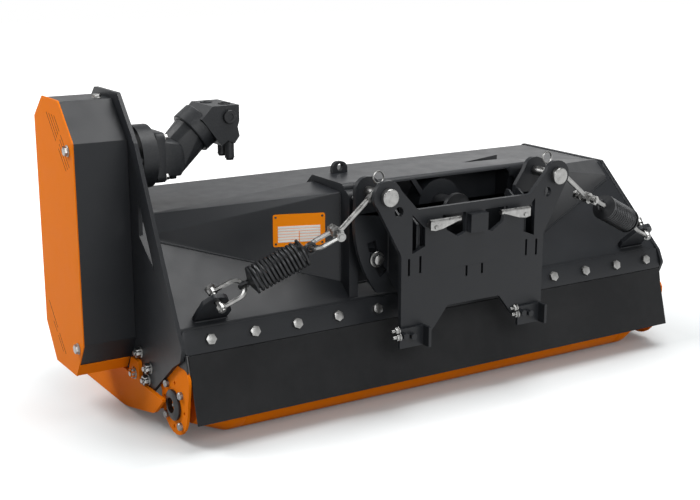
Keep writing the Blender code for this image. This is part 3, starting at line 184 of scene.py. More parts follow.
def paintFinish(name, look):  # powder coat: orange peel, faint dust that settles low, softly uneven gloss
    made = Finish(name)
    cloud = made.ramp(made.noise(*powder["cloud"]), *powder["cloudRamp"])
    speck = made.ramp(made.noise(*powder["speck"]), *powder["speckRamp"])
    low = ((powder["level"] - made.part(made.spots(), 2)) * powder["fade"]).held()
    dust = (cloud * powder["clouded"] + speck * powder["specked"] + low * powder["settled"]).held()
    sheen = made.noise(*powder["sheen"])
    made.set({"Base Color": made.blend(dust, look["colour"], look["pale"])})
    rough = look["rough"] + sheen * powder["uneven"] + dust * powder["dulled"] - powder["polished"]
    made.set({"Roughness": rough, "Specular IOR Level": look["specular"]})
    peel, wave = made.noise(*powder["peel"]), made.noise(*powder["wave"])
    made.bump(peel * powder["peeled"] + wave * powder["waved"], powder["relief"], powder["deep"])
    return made.material


zincCoat = {"dull": (0.255, 0.255, 0.25), "bright": (0.38, 0.38, 0.372), "patch": (90.0, 4.0, 0.6),
            "patchRamp": (0.36, 0.70), "haze": (700.0, 2.0), "grain": (900.0, 2.0, 0.5), "drawn": (1, 1, 4),
            "rough": 0.24, "uneven": 0.16, "hazed": 0.06, "relief": 0.10, "deep": 0.0004}


def zincFinish(name):  # bright zinc on fasteners, with a drawn grain and a few dull patches
    made = Finish(name)
    patch = made.ramp(made.noise(*zincCoat["patch"]), *zincCoat["patchRamp"])
    haze = made.noise(*zincCoat["haze"]) * zincCoat["hazed"]
    made.set({"Base Color": made.blend(patch, zincCoat["dull"], zincCoat["bright"])})
    made.set({"Metallic": 1.0, "Roughness": zincCoat["rough"] + patch * zincCoat["uneven"] + haze})
    grain = made.noise(*zincCoat["grain"], zincCoat["drawn"])
    made.bump(grain, zincCoat["relief"], zincCoat["deep"])
    return made.material


steels = {
    "rotorSteel": {"colour": (0.050, 0.052, 0.056), "worn": (0.20, 0.20, 0.19), "rough": 0.34,
                   "metal": 0.75},
    "boltSteel": {"colour": (0.26, 0.26, 0.26), "worn": (0.38, 0.38, 0.37), "rough": 0.34, "metal": 0.9},
    "springSteel": {"colour": (0.016, 0.017, 0.019), "worn": (0.040, 0.041, 0.043), "rough": 0.26,
                    "metal": 0.45},
}
oiled = {"rub": (38.0, 6.0, 0.68), "rubRamp": (0.46, 0.78), "film": (130.0, 3.0), "skin": (240.0, 4.0, 0.6),
         "uneven": 0.20, "polished": 0.08, "relief": 0.22, "deep": 0.0008}


def steelFinish(name, look):  # dark oiled steel, rubbed brighter in places
    made = Finish(name)
    rub = made.ramp(made.noise(*oiled["rub"]), *oiled["rubRamp"])
    made.set({"Base Color": made.blend(rub, look["colour"], look["worn"])})
    rough = look["rough"] + made.noise(*oiled["film"]) * oiled["uneven"] - rub * oiled["polished"]
    made.set({"Metallic": look["metal"], "Roughness": rough})
    made.bump(made.noise(*oiled["skin"]), oiled["relief"], oiled["deep"])
    return made.material


castPaint = {"dark": (0.011, 0.0125, 0.0145), "pale": (0.022, 0.024, 0.027), "grain": (210.0, 5.0, 0.65),
             "grainRamp": (0.40, 0.75), "sheen": (45.0, 3.0), "rough": 0.38, "uneven": 0.18,
             "specular": 0.36, "relief": 0.35, "deep": 0.0010}


def castFinish(name):  # painted casting: a coarse skin under satin black
    made, look = Finish(name), castPaint
    skin = made.noise(*look["grain"])
    made.set({"Base Color": made.blend(made.ramp(skin, *look["grainRamp"]), look["dark"], look["pale"])})
    rough = look["rough"] + made.noise(*look["sheen"]) * look["uneven"]
    made.set({"Roughness": rough, "Specular IOR Level": look["specular"]})
    made.bump(skin, look["relief"], look["deep"])
    return made.material


sheetRubber = {"dark": (0.0105, 0.0110, 0.0120), "pale": (0.026, 0.0265, 0.0275), "flow": (18.0, 5.0, 0.6),
               "upright": (6, 6, 0.5), "bloom": (9.0, 5.0, 0.65), "bloomRamp": (0.42, 0.80),
               "grain": (330.0, 3.0), "bloomed": 0.5, "streaked": 0.25, "rough": 0.60, "uneven": 0.16,
               "specular": 0.20, "grained": 0.6, "ribbed": 0.8, "relief": 0.16, "deep": 0.0010}


def rubberFinish(name):  # sheet rubber: matt, with faint vertical flow marks and dust
    made, look = Finish(name), sheetRubber
    flow = made.noise(*look["flow"], look["upright"])
    bloom = made.ramp(made.noise(*look["bloom"]), *look["bloomRamp"])
    dust = bloom * look["bloomed"] + flow * look["streaked"]
    made.set({"Base Color": made.blend(dust, look["dark"], look["pale"])})
    made.set({"Roughness": look["rough"] + flow * look["uneven"], "Specular IOR Level": look["specular"]})
    grain = made.noise(*look["grain"]) * look["grained"] + flow * look["ribbed"]
    made.bump(grain, look["relief"], look["deep"])
    return made.material


# painted shade for the slots' walls; the dust noise here only mottles that painted shade
slotShadePaint = {"dark": (0.003, 0.003, 0.0032), "pale": (0.008, 0.008, 0.0085), "dust": (60.0, 3.0),
            "rough": 0.8}


def slotShadeFinish(name):  # painted shade: a near-black finish for the slots' walls, standing in for the shade inside the slots
    made = Finish(name)
    shade = made.blend(made.noise(*slotShadePaint["dust"]), slotShadePaint["dark"], slotShadePaint["pale"])
    made.set({"Base Color": shade, "Roughness": slotShadePaint["rough"]})
    return made.material


finishes = {name: paintFinish(name, look) for name, look in paints.items()}
finishes.update({name: steelFinish(name, look) for name, look in steels.items()})
finishes["zinc"] = zincFinish("zinc")
finishes["casting"] = castFinish("casting")
finishes["rubberSheet"] = rubberFinish("rubberSheet")
# the slots' painted shade
finishes["paintedSlotShade"] = slotShadeFinish("paintedSlotShade")
print("finishes made")


# piece helpers

tight = 0.00001  # points nearer than this are one point
squareCorner = 1.2  # an edge that turns by more than this many radians is a square corner


def piece(name, work, finish, body, soft=35, weld=tight):
    if weld:
        bmesh.ops.remove_doubles(work, verts=work.verts, dist=weld)
    bmesh.ops.recalc_face_normals(work, faces=work.faces)
    return ride(name, work, finish, body, soft)


def ride(name, work, finish, body, soft):  # a mesh with its finish, smooth up to an angle, on its body
    mesh = bpy.data.meshes.new(name)
    work.to_mesh(mesh)
    work.free()
    for layer in [a for a in mesh.attributes if a.name == "custom_normal"]:
        mesh.attributes.remove(layer)
    made = bpy.data.objects.new(name, mesh)
    bpy.context.scene.collection.objects.link(made)
    mesh.materials.clear()
    mesh.materials.append(finishes[finish])
    mesh.shade_smooth()
    mesh.set_sharp_from_angle(angle=math.radians(soft))
    if body:
        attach(made, body)
    return made


def breakEdges(work, edges, width, steps=2):
    bmesh.ops.bevel(work, geom=edges, affect="EDGES", offset=width, segments=steps, profile=0.5, material=-1,
                    clamp_overlap=True)


def triangulateLarge(work):  # faces of more than four corners shade better as triangles
    bmesh.ops.triangulate(work, faces=[f for f in work.faces if len(f.verts) > 4])


def turnTo(axis, at):  # a matrix that lays z along an axis and puts it in its place
    return Matrix.Translation(at) @ Vector(axis).to_track_quat("Z", "Y").to_matrix().to_4x4()


def turn(work, profile, axis, at, steps=48):  # a profile of radius and height spun about an axis
    begun = set(work.verts)
    dots = [work.verts.new((r, 0, z)) for r, z in profile]
    links = [work.edges.new(pair) for pair in zip(dots, dots[1:])]
    if profile[0][0] > 0 and profile[-1][0] > 0:
        links.append(work.edges.new((dots[-1], dots[0])))
    bmesh.ops.spin(work, geom=dots + links, cent=(0, 0, 0), axis=(0, 0, 1), angle=math.tau, steps=steps,
                   use_merge=True)
    made = [v for v in work.verts if v not in begun]
    bmesh.ops.remove_doubles(work, verts=made, dist=tight)
    made = [v for v in work.verts if v not in begun]
    bmesh.ops.transform(work, matrix=turnTo(axis, at), verts=made)


fastener = {"washer": {"top": 0.0024, "rim": 0.0018, "round": 0.94, "foot": 0.0022}, "sunk": 0.0006,
            "chamfer": 0.13, "thread": {"radius": 0.50, "tip": 0.42, "round": 0.75, "sunk": 0.001}}


def hexHead(work, at, axis, radius, high, washer=0.0, lead=0.0, spin=0.3):
    # a chamfered head, on a washer and with the thread's end standing out where they are asked for
    base = turnTo(axis, at) @ Matrix.Rotation(spin, 4, "Z")
    foot = 0.0
    if washer:
        disc, sunk = fastener["washer"], -fastener["sunk"]
        turn(work, [(0, disc["top"]), (washer * disc["round"], disc["top"]), (washer, disc["rim"]),
                    (washer, sunk), (0, sunk)], axis, at, 28)
        foot = disc["foot"]
    head = bmesh.ops.create_cone(work, cap_ends=True, segments=6, radius1=radius, radius2=radius, depth=high,
                                 matrix=base @ Matrix.Translation((0, 0, foot + high / 2)))["verts"]
    outward = base.inverted()
    top = max({f for v in head for f in v.link_faces}, key=lambda f: (outward @ f.calc_center_median()).z)
    breakEdges(work, list(top.edges), radius * fastener["chamfer"])
    if lead:
        end, shape = foot + high, fastener["thread"]
        turn(work, [(0, end + lead), (radius * shape["tip"], end + lead),
                    (radius * shape["radius"], end + lead * shape["round"]),
                    (radius * shape["radius"], end - shape["sunk"]), (0, end - shape["sunk"])], axis, at, 16)


def slab(work, size, matrix, edge):
    made = bmesh.ops.create_cube(work, size=1.0, matrix=matrix @ Matrix.Diagonal((*size, 1)))["verts"]
    breakEdges(work, list({e for v in made for e in v.link_edges}), edge)


def tubeAlong(work, points, radii, sides):  # a round bar that follows points
    ring = None
    side = None
    for i, here in enumerate(points):
        ahead = (points[min(i + 1, len(points) - 1)] - points[max(i - 1, 0)]).normalized()
        side = (side - ahead * side.dot(ahead)).normalized() if side else ahead.orthogonal().normalized()
        grid = Matrix((side, ahead.cross(side), ahead)).transposed().to_4x4()
        loop = bmesh.ops.create_circle(work, segments=sides, radius=radii[i],
                                       cap_ends=i in (0, len(points) - 1),
                                       matrix=Matrix.Translation(here) @ grid)["verts"]
        edges = [e for e in {e for v in loop for e in v.link_edges} if all(v in loop for v in e.verts)]
        if ring:
            bmesh.ops.bridge_loops(work, edges=ring + edges)
        ring = edges


bead = {"step": 0.0055, "least": 6, "ends": 0.55, "ripple": (0.9, 1.12), "sides": 6}


def weldBead(work, start, end, radius):  # a rippled weld between two points
    count = max(bead["least"], int((end - start).length / bead["step"]))
    dots = [start.lerp(end, i / count) for i in range(count + 1)]
    swell = [bead["ends"] if i in (0, count) else bead["ripple"][i % 2] for i in range(count + 1)]
    tubeAlong(work, dots, [radius * share for share in swell], bead["sides"])


# the plates and housings: how wide the edges of each node are broken, with a star for left and right

edgeLooks = {
    "blackPaint": {"hood_shell": 0.0012, "side_plate_*": 0.0012, "belt_case_shell": 0.0008,
                   "hitch_beam": 0.0016, "shoulder_*": 0.0018, "lifting_eye": 0.0016, "spring_lug_*": 0.0012,
                   "hitch_plate": 0.0011, "swing_plate": 0.0011, "hitch_rib_inner_*": 0.0008,
                   "hitch_rib_outer_*": 0.0008, "lock_bracket_*": 0.0009},
    "orangePaint": {"belt_case_cover": 0.0007, "roller_bracket_*": 0.0010, "skid_*": 0.0010},
    "zinc": {"hook_insert_*": 0.0007, "coupler_pin_*": 0.0008, "lynch_pin_*": 0, "lower_shackle_*": 0.0006,
             "upper_shackle_*": 0.0006, "tension_rod_*": 0.0005},
    "springSteel": {"pivot_pin": 0.0008, "roller_hub_*": 0.0006, "lower_plug_*": 0.0005,
                    "upper_plug_*": 0.0005},
    "rotorSteel": {"rotor_drum": 0.0012, "rotor_pulley": 0.0008, "motor_pulley": 0.0008,
                   "counter_knife": 0.0010},
    "casting": {"rotor_bearing_*": 0.0010, "motor_mount": 0.0012, "motor_port_block": 0.0018},
    "rubberSheet": {"drive_belt": 0.0006, "rear_flap": 0.0012, "front_flap": 0.0012},
    "labelOrange": {"data_plate": 0.0003},
}
polishing = {"merge": 0.00004, "flat": 0.7, "corner": 29, "soft": 30}
cover = {"face": -0.885, "slack": 0.00002}
vents = {"side": 0.3, "clear": 0.0002, "wide": 0.006, "lift": 0.00005, "liner": 0.00020}
bridge = {"half": 0.192, "above": 0.500, "drop": 0.032}


def cutCoverHeads(work):  # the solid's bolt heads go, level with the cover, and the cut is closed
    bmesh.ops.remove_doubles(work, verts=work.verts, dist=tight)
    bmesh.ops.bisect_plane(work, geom=work.verts[:] + work.edges[:] + work.faces[:], dist=0.000001,
                           plane_co=(cover["face"] - cover["slack"], 0, 0), plane_no=(-1, 0, 0),
                           clear_outer=True)
    bmesh.ops.holes_fill(work, edges=[e for e in work.edges if e.is_boundary])


def lineVentsWithShade(sheet):  # painted shade: thin near-black liners on the slots' walls, which are painted orange but lie in shade; found by the wall that faces each of them
    shell = BVHTree.FromBMesh(sheet)
    work = sheet.copy()
    rest = [f for f in work.faces if abs(f.normal.x) >= vents["side"] or not shell.ray_cast(
        f.calc_center_median() + f.normal * vents["clear"], f.normal, vents["wide"])[0]]
    bmesh.ops.delete(work, geom=rest, context="FACES")
    bmesh.ops.split_edges(work, edges=work.edges)
    for f in work.faces:
        bmesh.ops.translate(work, vec=f.normal * vents["lift"], verts=f.verts)
    raised = bmesh.ops.extrude_face_region(work, geom=work.faces[:])["geom"]
    for f in [part for part in raised if isinstance(part, bmesh.types.BMFace)]:
        f.normal_update()
        bmesh.ops.translate(work, vec=f.normal * vents["liner"], verts=f.verts)
    # the liners wear the slots' painted shade
    piece("ventShadeLiners", work, "paintedSlotShade", "hood", 35, 0)


def lowerBridge(work):  # the swing plate's middle lies behind the hitch plate's top edge
    level = place(0, 0, bridge["above"]).z
    top = [v for v in work.verts if abs(v.co.x) < bridge["half"] and v.co.z > level]
    bmesh.ops.translate(work, vec=(0, 0, -bridge["drop"]), verts=top)


def camel(node):  # hood_shell becomes hoodShell
    first, *rest = node.split("_")
    return first + "".join(word.capitalize() for word in rest)


def polish(node, finish, width):
    work = bmesh.new()
    work.from_mesh(frame["nodes"][node].data)
    if node == "belt_case_cover":
        cutCoverHeads(work)
    if node == "swing_plate":
        lowerBridge(work)
    bmesh.ops.remove_doubles(work, verts=work.verts, dist=polishing["merge"])
    bmesh.ops.dissolve_limit(work, angle_limit=math.radians(polishing["flat"]), verts=work.verts,
                             edges=work.edges)
    if width:
        sharp = math.radians(polishing["corner"])
        corners = [e for e in work.edges if len(e.link_faces) == 2 and e.calc_face_angle(0) > sharp]
        breakEdges(work, corners, width)
    if node == "belt_case_cover":
        # the cover's slots get liners of painted shade
        lineVentsWithShade(work)
    triangulateLarge(work)
    made = ride(camel(node), work, finish, bodyOf[node], polishing["soft"])
    made.modifiers.new("evenNormals", "WEIGHTED_NORMAL").keep_sharp = True
    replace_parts(made, node)


for finish, nodes in edgeLooks.items():
    for node, width in nodes.items():
        for hand in ("left", "right") if "*" in node else ("",):
            polish(node.replace("*", hand), finish, width)
print("plates and housings finished")


# bolts

strips = {
    "rear": {"top": Vector((0, 0.277)), "along": Vector((-0.3431, -0.9393)), "start": 0.0045, "long": 0.0567,
             "out": Vector((-0.9393, 0.3431)), "places": [0.1133 * (i - 6) + 0.007 for i in range(13)]},
    "front": {"top": Vector((0.660, 0.379)), "along": Vector((0, -1)), "start": 0.0, "long": 0.0550,
              "out": Vector((1, 0)), "places": [-0.66 + 0.22 * i for i in range(7)]},
}
stripBar = {"wide": 1.478, "thick": 0.006, "lift": 0.0003, "corner": 0.007, "edge": 0.0009,
            "rubber": (1.456, 0.020, 0.0022), "rubberEdge": 0.0004}
stripBolt = {"radius": 0.0138, "high": 0.0090}
stripSpin = (0.4, 0.9)  # the first bolt head's turn, and how much each next one turns on


def makeStrip(name, look):  # a flat bar with round corners, its row of bolts and the rubber edge behind it
    thick, long, out = stripBar["thick"], look["long"], look["out"]
    middle = look["top"] + look["along"] * (look["start"] + long / 2) + out * (stripBar["lift"] + thick / 2)
    grid = Matrix(((1, 0, 0), (0, *look["along"]), (0, *out))).transposed().to_4x4()
    work = bmesh.new()
    bmesh.ops.create_cube(work, size=1.0, matrix=Matrix.Diagonal((stripBar["wide"], long, thick, 1)))
    upright = [e for e in work.edges if abs(e.verts[0].co.z - e.verts[1].co.z) > thick / 2]
    breakEdges(work, upright, stripBar["corner"], 5)
    rims = [e for e in work.edges if len(e.link_faces) == 2 and e.calc_face_angle(0) > squareCorner]
    breakEdges(work, rims, stripBar["edge"])
    bmesh.ops.transform(work, matrix=Matrix.Translation(place(0, *middle)) @ grid, verts=work.verts)
    triangulateLarge(work)
    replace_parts(piece(name + "ClampStrip", work, "blackPaint", "hood"), name + "_clamp_strip")
    work = bmesh.new()
    seat = middle + out * thick / 2
    for i, x in enumerate(look["places"]):
        hexHead(work, place(x, *seat), (0, *out), **stripBolt, spin=stripSpin[0] + i * stripSpin[1])
    piece(name + "StripBolts", work, "zinc", "hood")
    work = bmesh.new()
    end = look["top"] + look["along"] * (look["start"] + long) - out * stripBar["rubber"][2]
    slab(work, stripBar["rubber"], Matrix.Translation(place(0, *end)) @ grid, stripBar["rubberEdge"])
    piece(name + "RubberEdge", work, "rubberSheet", "hood")


sideBolts = {
    "plate": {"x": 0.750, "spots": ((0.214, 0.165), (0.158, 0.141), (0.172, 0.107)),
              "head": {"radius": 0.0128, "high": 0.0120, "washer": 0.0150, "lead": 0.005}},
    "skid": {"x": 0.7603, "spots": ((0.232, 0.108), (0.560, 0.070)),
             "head": {"radius": 0.0128, "high": 0.0085, "washer": 0.0150, "lead": 0.003, "spin": 0.7}},
}
coverBolts = {"y": 0.270, "levels": (0.660, 0.181),
              "head": {"radius": 0.0118, "high": 0.0076, "washer": 0.0138}}
roofBolt = {"spot": (-0.778, 0.352, 0.7665), "head": {"radius": 0.0105, "high": 0.0070, "washer": 0.0125}}


def makeSideBolts():
    work = bmesh.new()
    for side in (-1, 1):
        for look in sideBolts.values():
            for y, h in look["spots"]:
                hexHead(work, place(side * look["x"], y, h), (side, 0, 0), **look["head"])
    for h in coverBolts["levels"]:
        hexHead(work, place(cover["face"], coverBolts["y"], h), (-1, 0, 0), **coverBolts["head"])
    piece("sideBolts", work, "zinc", "hood")
    work = bmesh.new()
    hexHead(work, place(*roofBolt["spot"]), (0, 0, 1), **roofBolt["head"])
    piece("caseRoofBolt", work, "zinc", "hood")


roller = {"y": 0.045, "h": 0.083, "radius": 0.083, "half": 0.705, "taper": 0.080, "stub": 0.018,
          "end": 0.7377, "face": 0.60, "brim": (0.62, 0.002), "shoulder": (0.985, 0.004),
          "rings": (0.2, 0.05), "groove": 0.590,  # and its curve, as steps along the roller and depths
          "curve": ((0.004, 0), (0.002, 0.0010), (0, 0.0014), (-0.002, 0.0010), (-0.004, 0))}
bracketBolt = {"x": 0.7397, "circle": 0.055, "start": 50,
               "head": [(0, 0.0086), (0.0078, 0.0084), (0.0093, 0.0066), (0.0093, -0.0005), (0, -0.0005)]}
hubNipple = {"x": 0.7385, "shape": [(0, 0.0060), (0.0035, 0.0060), (0.0042, 0.0040), (0.0060, 0.0030),
                                    (0.0060, 0), (0, 0)]}


def makeBracketBolts():
    work = bmesh.new()
    for side in (-1, 1):
        for k in range(4):
            t = math.radians(bracketBolt["start"] + 90 * k)
            y = roller["y"] + bracketBolt["circle"] * math.cos(t)
            h = roller["h"] + bracketBolt["circle"] * math.sin(t)
            turn(work, bracketBolt["head"], (side, 0, 0), place(side * bracketBolt["x"], y, h), 24)
        middle = place(side * hubNipple["x"], roller["y"], roller["h"])
        turn(work, hubNipple["shape"], (side, 0, 0), middle, 16)
    piece("bracketBolts", work, "boltSteel", "hood")


guideBolt = {"swing": 0.2537, "angle": 23.0, "y": -0.038, "h": 0.480,
             "shape": [(0, 0.0125), (0.0085, 0.0122), (0.0122, 0.0104), (0.0132, 0.0078), (0.0132, 0.0030),
                       (0.0185, 0.0028), (0.0195, 0.0018), (0.0195, -0.0006), (0, -0.0006)]}
lockStuds = {"centres": (-0.180, 0.182), "out": 0.0455, "y": -0.1210, "h": 0.221, "step": (0.006, 0.014),
             "head": {"radius": 0.0085, "high": 0.0080, "washer": 0.0100, "lead": 0.009}}
hookScrew = {"x": 0.136, "y": -0.146, "h": 0.4695, "radius": 0.0056, "high": 0.0034}


def makeHitchBolts():
    work = bmesh.new()
    angle, swing = math.radians(guideBolt["angle"]), guideBolt["swing"]
    for side in (-1, 1):
        at = place(side * swing * math.cos(angle), guideBolt["y"], guideBolt["h"] - swing * math.sin(angle))
        turn(work, guideBolt["shape"], (0, -1, 0), at, 40)
    piece("guideBolts", work, "zinc", "hood")
    work = bmesh.new()
    for centre in lockStuds["centres"]:  # studs that point to the left, past the bracket's edge
        for k in range(2):
            y, h = lockStuds["y"] - lockStuds["step"][0] * k, lockStuds["h"] - lockStuds["step"][1] * k
            at = place(centre - lockStuds["out"], y, h)
            hexHead(work, at, (-1, 0, 0), **lockStuds["head"], spin=0.5 * k)
    piece("lockStuds", work, "zinc", "hitch")
    work = bmesh.new()
    for side in (-1, 1):
        at = place(side * hookScrew["x"], hookScrew["y"], hookScrew["h"])
        hexHead(work, at, (0, -1, 0), hookScrew["radius"], hookScrew["high"])
    piece("hookScrews", work, "zinc", "hitch")


for name, look in strips.items():
    makeStrip(name, look)
makeSideBolts()
makeBracketBolts()
makeHitchBolts()
print("bolts placed")


# springs

spring = {"turns": 12, "wire": 0.0040, "radius": 0.0300, "perTurn": 24, "sides": 10, "reach": 0.0950,
          "foot": (0.660, -0.030, 0.343), "top": (0.382, -0.0975, 0.476), "lie": (0, 0.751, 0.660),
          "ease": 0.012}


def makeSpring(label, side):
    start, end = (place(side * x, y, h) for x, y, h in (spring["foot"], spring["top"]))
    along = (end - start).normalized()
    long = (end - start).length
    low, high = spring["reach"], long - spring["reach"]
    lie = Vector(spring["lie"])
    across = (lie - along * along.dot(lie)).normalized()
    other = along.cross(across)
    turns, wire, radius = spring["turns"], spring["wire"], spring["radius"]
    count = turns * spring["perTurn"]
    bottom, top = low + wire, high - wire
    dots = []
    for k in range(count + 1):
        share = k / count
        toEnd = min(share, 1 - share) * turns  # the first and last turns lie flatter
        flat = (1 - toEnd) ** 2 * spring["ease"] * (1 if share < 0.5 else -1)
        level = share if toEnd > 1 else share - flat
        turned = math.tau * turns * share
        dots.append(start + along * (bottom + (top - bottom) * max(0, min(1, level)))
                    + across * radius * math.cos(turned) + other * radius * math.sin(turned))
    work = bmesh.new()
    tubeAlong(work, dots, [wire] * len(dots), spring["sides"])
    made = piece(f"coil{label}", work, "springSteel", None)
    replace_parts(made, f"spring_{label.lower()}")
    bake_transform(made, f"spring_lower_{label.lower()}", f"spring_upper_{label.lower()}",
             start=tuple(start + along * low), end=tuple(start + along * high))


for label, side in (("Left", -1), ("Right", 1)):
    makeSpring(label, side)
print("springs wound")


# roller

def makeRoller():
    r, stub, half, knee = roller["radius"], roller["stub"], roller["half"], roller["half"] - roller["taper"]
    brim, inward = roller["brim"]
    shoulder, ease = roller["shoulder"]
    side = [(0, roller["end"]), (stub, roller["end"]), (stub, half), (r * roller["face"], half),
            (r * brim, half - inward), (r * shoulder, knee + ease), (r, knee - ease)]
    side += [(r - deep, roller["groove"] + step) for step, deep in roller["curve"]]
    side += [(r, ring) for ring in roller["rings"]]
    work = bmesh.new()
    profile = side + [(x, -z) for x, z in reversed(side)]
    turn(work, profile, (1, 0, 0), place(0, roller["y"], roller["h"]), 80)
    # the roller wears the lighter copy of the orange, which is painted light
    made = piece("rollerTube", work, "rollerOrangePaintedLight", "roller", 40)
    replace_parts(made, "roller")


makeRoller()
print("roller turned")


# motor

lean = math.radians(37)
motor = {"y": 0.366, "h": 0.614, "kneeX": -0.592, "tilt": Vector((math.cos(lean), 0, math.sin(lean))),
         "up": Vector((-math.sin(lean), 0, math.cos(lean))), "flange": (-0.6497, -0.6257), "square": 0.124,
         "corner": 0.016, "edge": 0.0015,
         "neck": {"half": 0.046, "back": 0.038, "front": 0.028, "sunk": 0.001, "edge": 0.004},
         "sole": {"half": 0.036, "low": 0.051, "ahead": 0.015, "edge": 0.003},
         "rings": {"throat": (0.020, 0.044), "heel": (0, 0.038), "collar": (0.076, 0.050)},
         "cap": [(0, 0.119), (0.0545, 0.119), (0.0580, 0.1165), (0.0580, 0.0765), (0.0560, 0.0740),
                 (0, 0.0740)],
         "boss": [(0, 0.006), (0.012, 0.006), (0.014, 0.004), (0.014, -0.008), (0, -0.008)],
         "bossSpot": (-0.603, 0.036), "drainSpot": (0.002, -0.010, 0.002), "drain": (0.0130, 0.0110, 0.0155)}


castCorner = 0.3  # an edge of a cast form that turns by more than this many radians is rounded


def castForm(work, dots, edge):  # the tight skin over points, its edges rounded
    made = [work.verts.new(dot) for dot in dots]
    bmesh.ops.convex_hull(work, input=made)
    bmesh.ops.delete(work, geom=[v for v in made if v.is_valid and not v.link_faces], context="VERTS")
    skin = {f for v in made if v.is_valid for f in v.link_faces}
    corners, edges = list({v for f in skin for v in f.verts}), list({e for f in skin for e in f.edges})
    bmesh.ops.dissolve_limit(work, angle_limit=math.radians(1), verts=corners, edges=edges)
    skin = {f for v in made if v.is_valid for f in v.link_faces}
    breakEdges(work, list({e for f in skin for e in f.edges if e.calc_face_angle(0) > castCorner}), edge, 3)


def makeMotorBody():
    y, h, tilt, up = motor["y"], motor["h"], motor["tilt"], motor["up"]
    knee = place(motor["kneeX"], y, h)
    low, high = motor["flange"]
    work = bmesh.new()
    square = Matrix.Diagonal((high - low, motor["square"], motor["square"], 1))
    bmesh.ops.create_cube(work, size=1.0, matrix=Matrix.Translation(place((low + high) / 2, y, h)) @ square)
    along = [e for e in work.edges if abs(e.verts[0].co.x - e.verts[1].co.x) > (high - low) / 2]
    breakEdges(work, along, motor["corner"], 5)
    breakEdges(work, [e for e in work.edges if e.calc_face_angle(0) > squareCorner], motor["edge"])

    def ring(name):  # twelve points round the tilted barrel, so far along it and with this radius
        far, radius = motor["rings"][name]
        spots = [math.tau * k / 12 for k in range(12)]
        return [knee + tilt * far + Vector((0, radius * math.cos(t), 0)) + up * radius * math.sin(t)
                for t in spots]

    neck, sole = motor["neck"], motor["sole"]
    foot, front, under = high - neck["sunk"], knee.x + sole["ahead"], h - sole["low"]
    outline = ((foot, under), (front, under), (foot, h + neck["back"]), (front, h + neck["front"]))
    neckDots = [place(x, y + a * neck["half"], level) for a in (-1, 1) for x, level in outline]
    castForm(work, neckDots + ring("throat"), neck["edge"])
    soleDots = [place(front, y + a * sole["half"], under) for a in (-1, 1)]
    castForm(work, soleDots + ring("heel") + ring("collar"), sole["edge"])
    turn(work, motor["cap"], tilt, knee, 64)
    x, lift = motor["bossSpot"]
    turn(work, motor["boss"], (0, 0, 1), place(x, y, h + lift), 28)
    dx, dy, dh = motor["drainSpot"]
    hexHead(work, place(knee.x + dx, y + dy, under + dh), (0, 0, -1), *motor["drain"])
    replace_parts(piece("motorBody", work, "casting", "hood", 32), "motor_housing")


motorBolts = {
    "flange": {"x": motor["flange"][1], "reach": 0.049, "spots": ((-1, -1), (1, -1), (1, 1), (-1, 1)),
               "head": {"radius": 0.0082, "high": 0.0075, "washer": 0.0100}},
    "mount": {"x": -0.7396, "reach": 0.064, "spots": ((-1, 0), (0, 1), (1, 0), (0, -1)),
              "head": {"radius": 0.0130, "high": 0.0100, "washer": 0.0150}},
}
ports = {"x": -0.474, "step": 0.027, "offsets": (0.024, -0.024), "h": 0.7310,
         "ring": [(0.0107, 0.0028), (0.0150, 0.0028), (0.0158, 0.0020), (0.0158, -0.001), (0.0107, -0.001)]}
plugs = {"side": {"x": -0.453, "ahead": 0.0690, "h": 0.703,
                  "shape": [(0.0085, 0.0020), (0.0160, 0.0020), (0.0170, 0.0008), (0.0170, -0.006),
                            (0, -0.006), (0, -0.0030), (0.0070, -0.0030)]},
         "under": [((-0.456, 0.345, 0.6065), (0.0092, 0.0050, 0.0106)),
                   ((-0.445, 0.322, 0.5985), (0.0108, 0.0055, 0.0126))]}


def makeMotorDetails():
    y, h = motor["y"], motor["h"]
    work = bmesh.new()
    for look in motorBolts.values():
        for a, b in look["spots"]:
            at = place(look["x"], y + a * look["reach"], h + b * look["reach"])
            hexHead(work, at, (1, 0, 0), **look["head"])
    piece("motorBolts", work, "zinc", "hood")
    work = bmesh.new()
    for k, dy in enumerate(ports["offsets"]):
        at = place(ports["x"] + ports["step"] * k, y + dy, ports["h"])
        turn(work, ports["ring"], (0, 0, 1), at, 32)
    piece("portRings", work, "casting", "hood", 30)
    work = bmesh.new()
    look = plugs["side"]
    turn(work, look["shape"], (0, -1, 0), place(look["x"], y - look["ahead"], look["h"]), 40)
    for spot, sizes in plugs["under"]:
        hexHead(work, place(*spot), (0, 0, -1), *sizes)
    piece("motorPlugs", work, "springSteel", "hood")


makeMotorBody()
makeMotorDetails()
print("motor detailed")


# data plate: blank fields and rivets on the left shoulder's front sheet

deck = {"foot": 0.277, "run": 0.240, "rise": 0.211}
dataPlate = {"wide": 0.128, "high": 0.080, "band": 0.029, "sill": 0.010, "edge": 0.012, "rows": 6,
             "whole": 2, "column": 0.50, "lines": (0.0018, 0.0011), "field": 0.0004, "fieldEdge": 0.00008,
             "rivets": (0.057, 0.033),
             "sheet": {"foot": (-0.2873, 0.0415, 0.0006), "near": (-0.2873, 0.0410, 0.539),
                       "far": (-0.722, 0.1945, 0.4555), "up": 0.69, "along": 0.225, "lift": 0.0018},
             "rivet": [(0, 0.0009), (0.0020, 0.0007), (0.0030, 0.0001), (0.0030, -0.0004), (0, -0.0004)]}


def deckHeight(y):
    return deck["foot"] + y * deck["rise"] / deck["run"]


